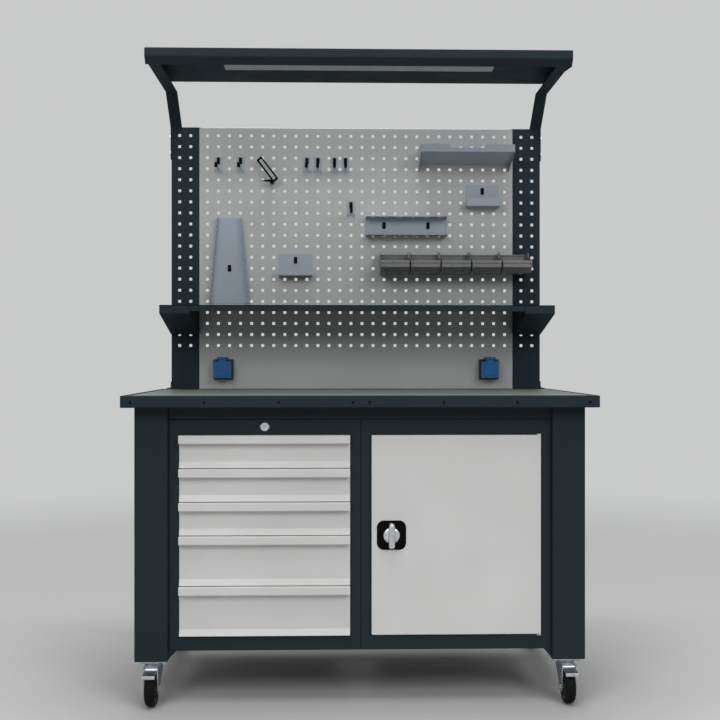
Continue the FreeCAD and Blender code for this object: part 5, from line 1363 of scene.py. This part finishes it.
def floor_finish():
    material = bpy.data.materials.new("studio_floor")
    material.use_nodes = True
    tree = material.node_tree
    shader = shader_of(material)
    set_inputs(shader, {"Base Color": (*FLOOR_GREY, 1.0), "Roughness": FLOOR_ROUGHNESS})
    glow = tree.nodes.new("ShaderNodeEmission")
    set_inputs(glow, {"Color": (*BACKDROP, 1.0)})
    mix = tree.nodes.new("ShaderNodeMixShader")
    tree.links.new(backdrop_share(tree), mix.inputs["Fac"])
    tree.links.new(shader.outputs["BSDF"], mix.inputs[1])
    tree.links.new(glow.outputs["Emission"], mix.inputs[2])
    tree.links.new(mix.outputs["Shader"], tree.nodes["Material Output"].inputs["Surface"])
    return material


disc = bmesh.new()
bmesh.ops.create_circle(disc, cap_ends=True, radius=FLOOR_RADIUS, segments=96)
floor = new_object("studio_floor", mesh_of("studio_floor", disc))
floor.data.materials.append(floor_finish())
print("floor", FLOOR_RADIUS, "m in radius")

# %% [markdown]
# Surround. One background for all rays would light the bench as brightly as it looks itself, and the shadows
# would fade. So the world has two sides: the camera, mirrors and glass see the backdrop's colour, while the
# bench gets a weak white light from all round, which keeps its shadows open.

# %% Surround
SURROUND_STRENGTH = 0.22
world = bpy.data.worlds.new("studio")
bpy.context.scene.world = world
world.use_nodes = True
surround = world.node_tree
shown = surround.nodes["Background"]
set_inputs(shown, {"Color": (*BACKDROP, 1.0)})
light = surround.nodes.new("ShaderNodeBackground")
set_inputs(light, {"Color": (1.0, 1.0, 1.0, 1.0), "Strength": SURROUND_STRENGTH})
choice = surround.nodes.new("ShaderNodeMixShader")
surround.links.new(seen_rays(surround), choice.inputs["Fac"])
surround.links.new(light.outputs["Background"], choice.inputs[1])
surround.links.new(shown.outputs["Background"], choice.inputs[2])
surround.links.new(choice.outputs["Shader"], surround.nodes["World Output"].inputs["Surface"])
print("surround at strength", SURROUND_STRENGTH)

# %% [markdown]
# Lamps. Two large lamps stand in front of the bench, one hangs above it and one behind it, and a long one over
# the panel shines down past the canopy. Small lamps could give as much light, but with hard shadows. The power
# is kept at a level where the pale paint doesn't clip to white in the photograph's view.

# %% Lamps
AIM = (0.0, 0.0, 0.9)
PANEL_AIM = (0.0, 0.31, 1.6)


def soft_lamp(name, place, target, size, power):
    data = bpy.data.lights.new(name, "AREA")
    data.shape = "RECTANGLE"
    data.size, data.size_y = size
    data.energy = power
    lamp = new_object(name, data)
    lamp.location = place
    lamp.rotation_euler = (Vector(target) - Vector(place)).to_track_quat("-Z", "Y").to_euler()


soft_lamp("front_left", (-2.0, -3.9, 3.3), AIM, size=(2.2, 2.2), power=66.0)
soft_lamp("front_right", (2.4, -3.9, 3.3), AIM, size=(2.2, 2.2), power=74.0)
soft_lamp("overhead", (0.0, -0.8, 4.5), AIM, size=(3.0, 3.0), power=118.0)
soft_lamp("behind", (0.0, 2.8, 4.4), AIM, size=(3.0, 2.0), power=60.0)
soft_lamp("over_panel", (0.0, 0.0, 3.6), PANEL_AIM, size=(1.6, 0.3), power=40.0)
print(len(bpy.data.lights), "lamps")

# %% [markdown]
# Camera. The photograph was taken level, from about 3.2 m, a little to the left of the middle and turned a
# little to the right. Tilting the camera would make the uprights lean; a level one keeps them parallel.

# %% Camera
LENS, SENSOR = 51.26, 36.0
CAMERA_AT = (-0.0728, -3.2281, 0.9881)
CAMERA_TURN = -0.024
camera_data = bpy.data.cameras.new("camera")
camera_data.sensor_width = SENSOR
camera_data.lens = LENS
camera = new_object("camera", camera_data)
camera.location = CAMERA_AT
camera.rotation_euler = (QUARTER, 0.0, CAMERA_TURN)
bpy.context.scene.camera = camera
bpy.context.scene.view_settings.view_transform = "Standard"
print("camera", LENS, "mm at", CAMERA_AT)
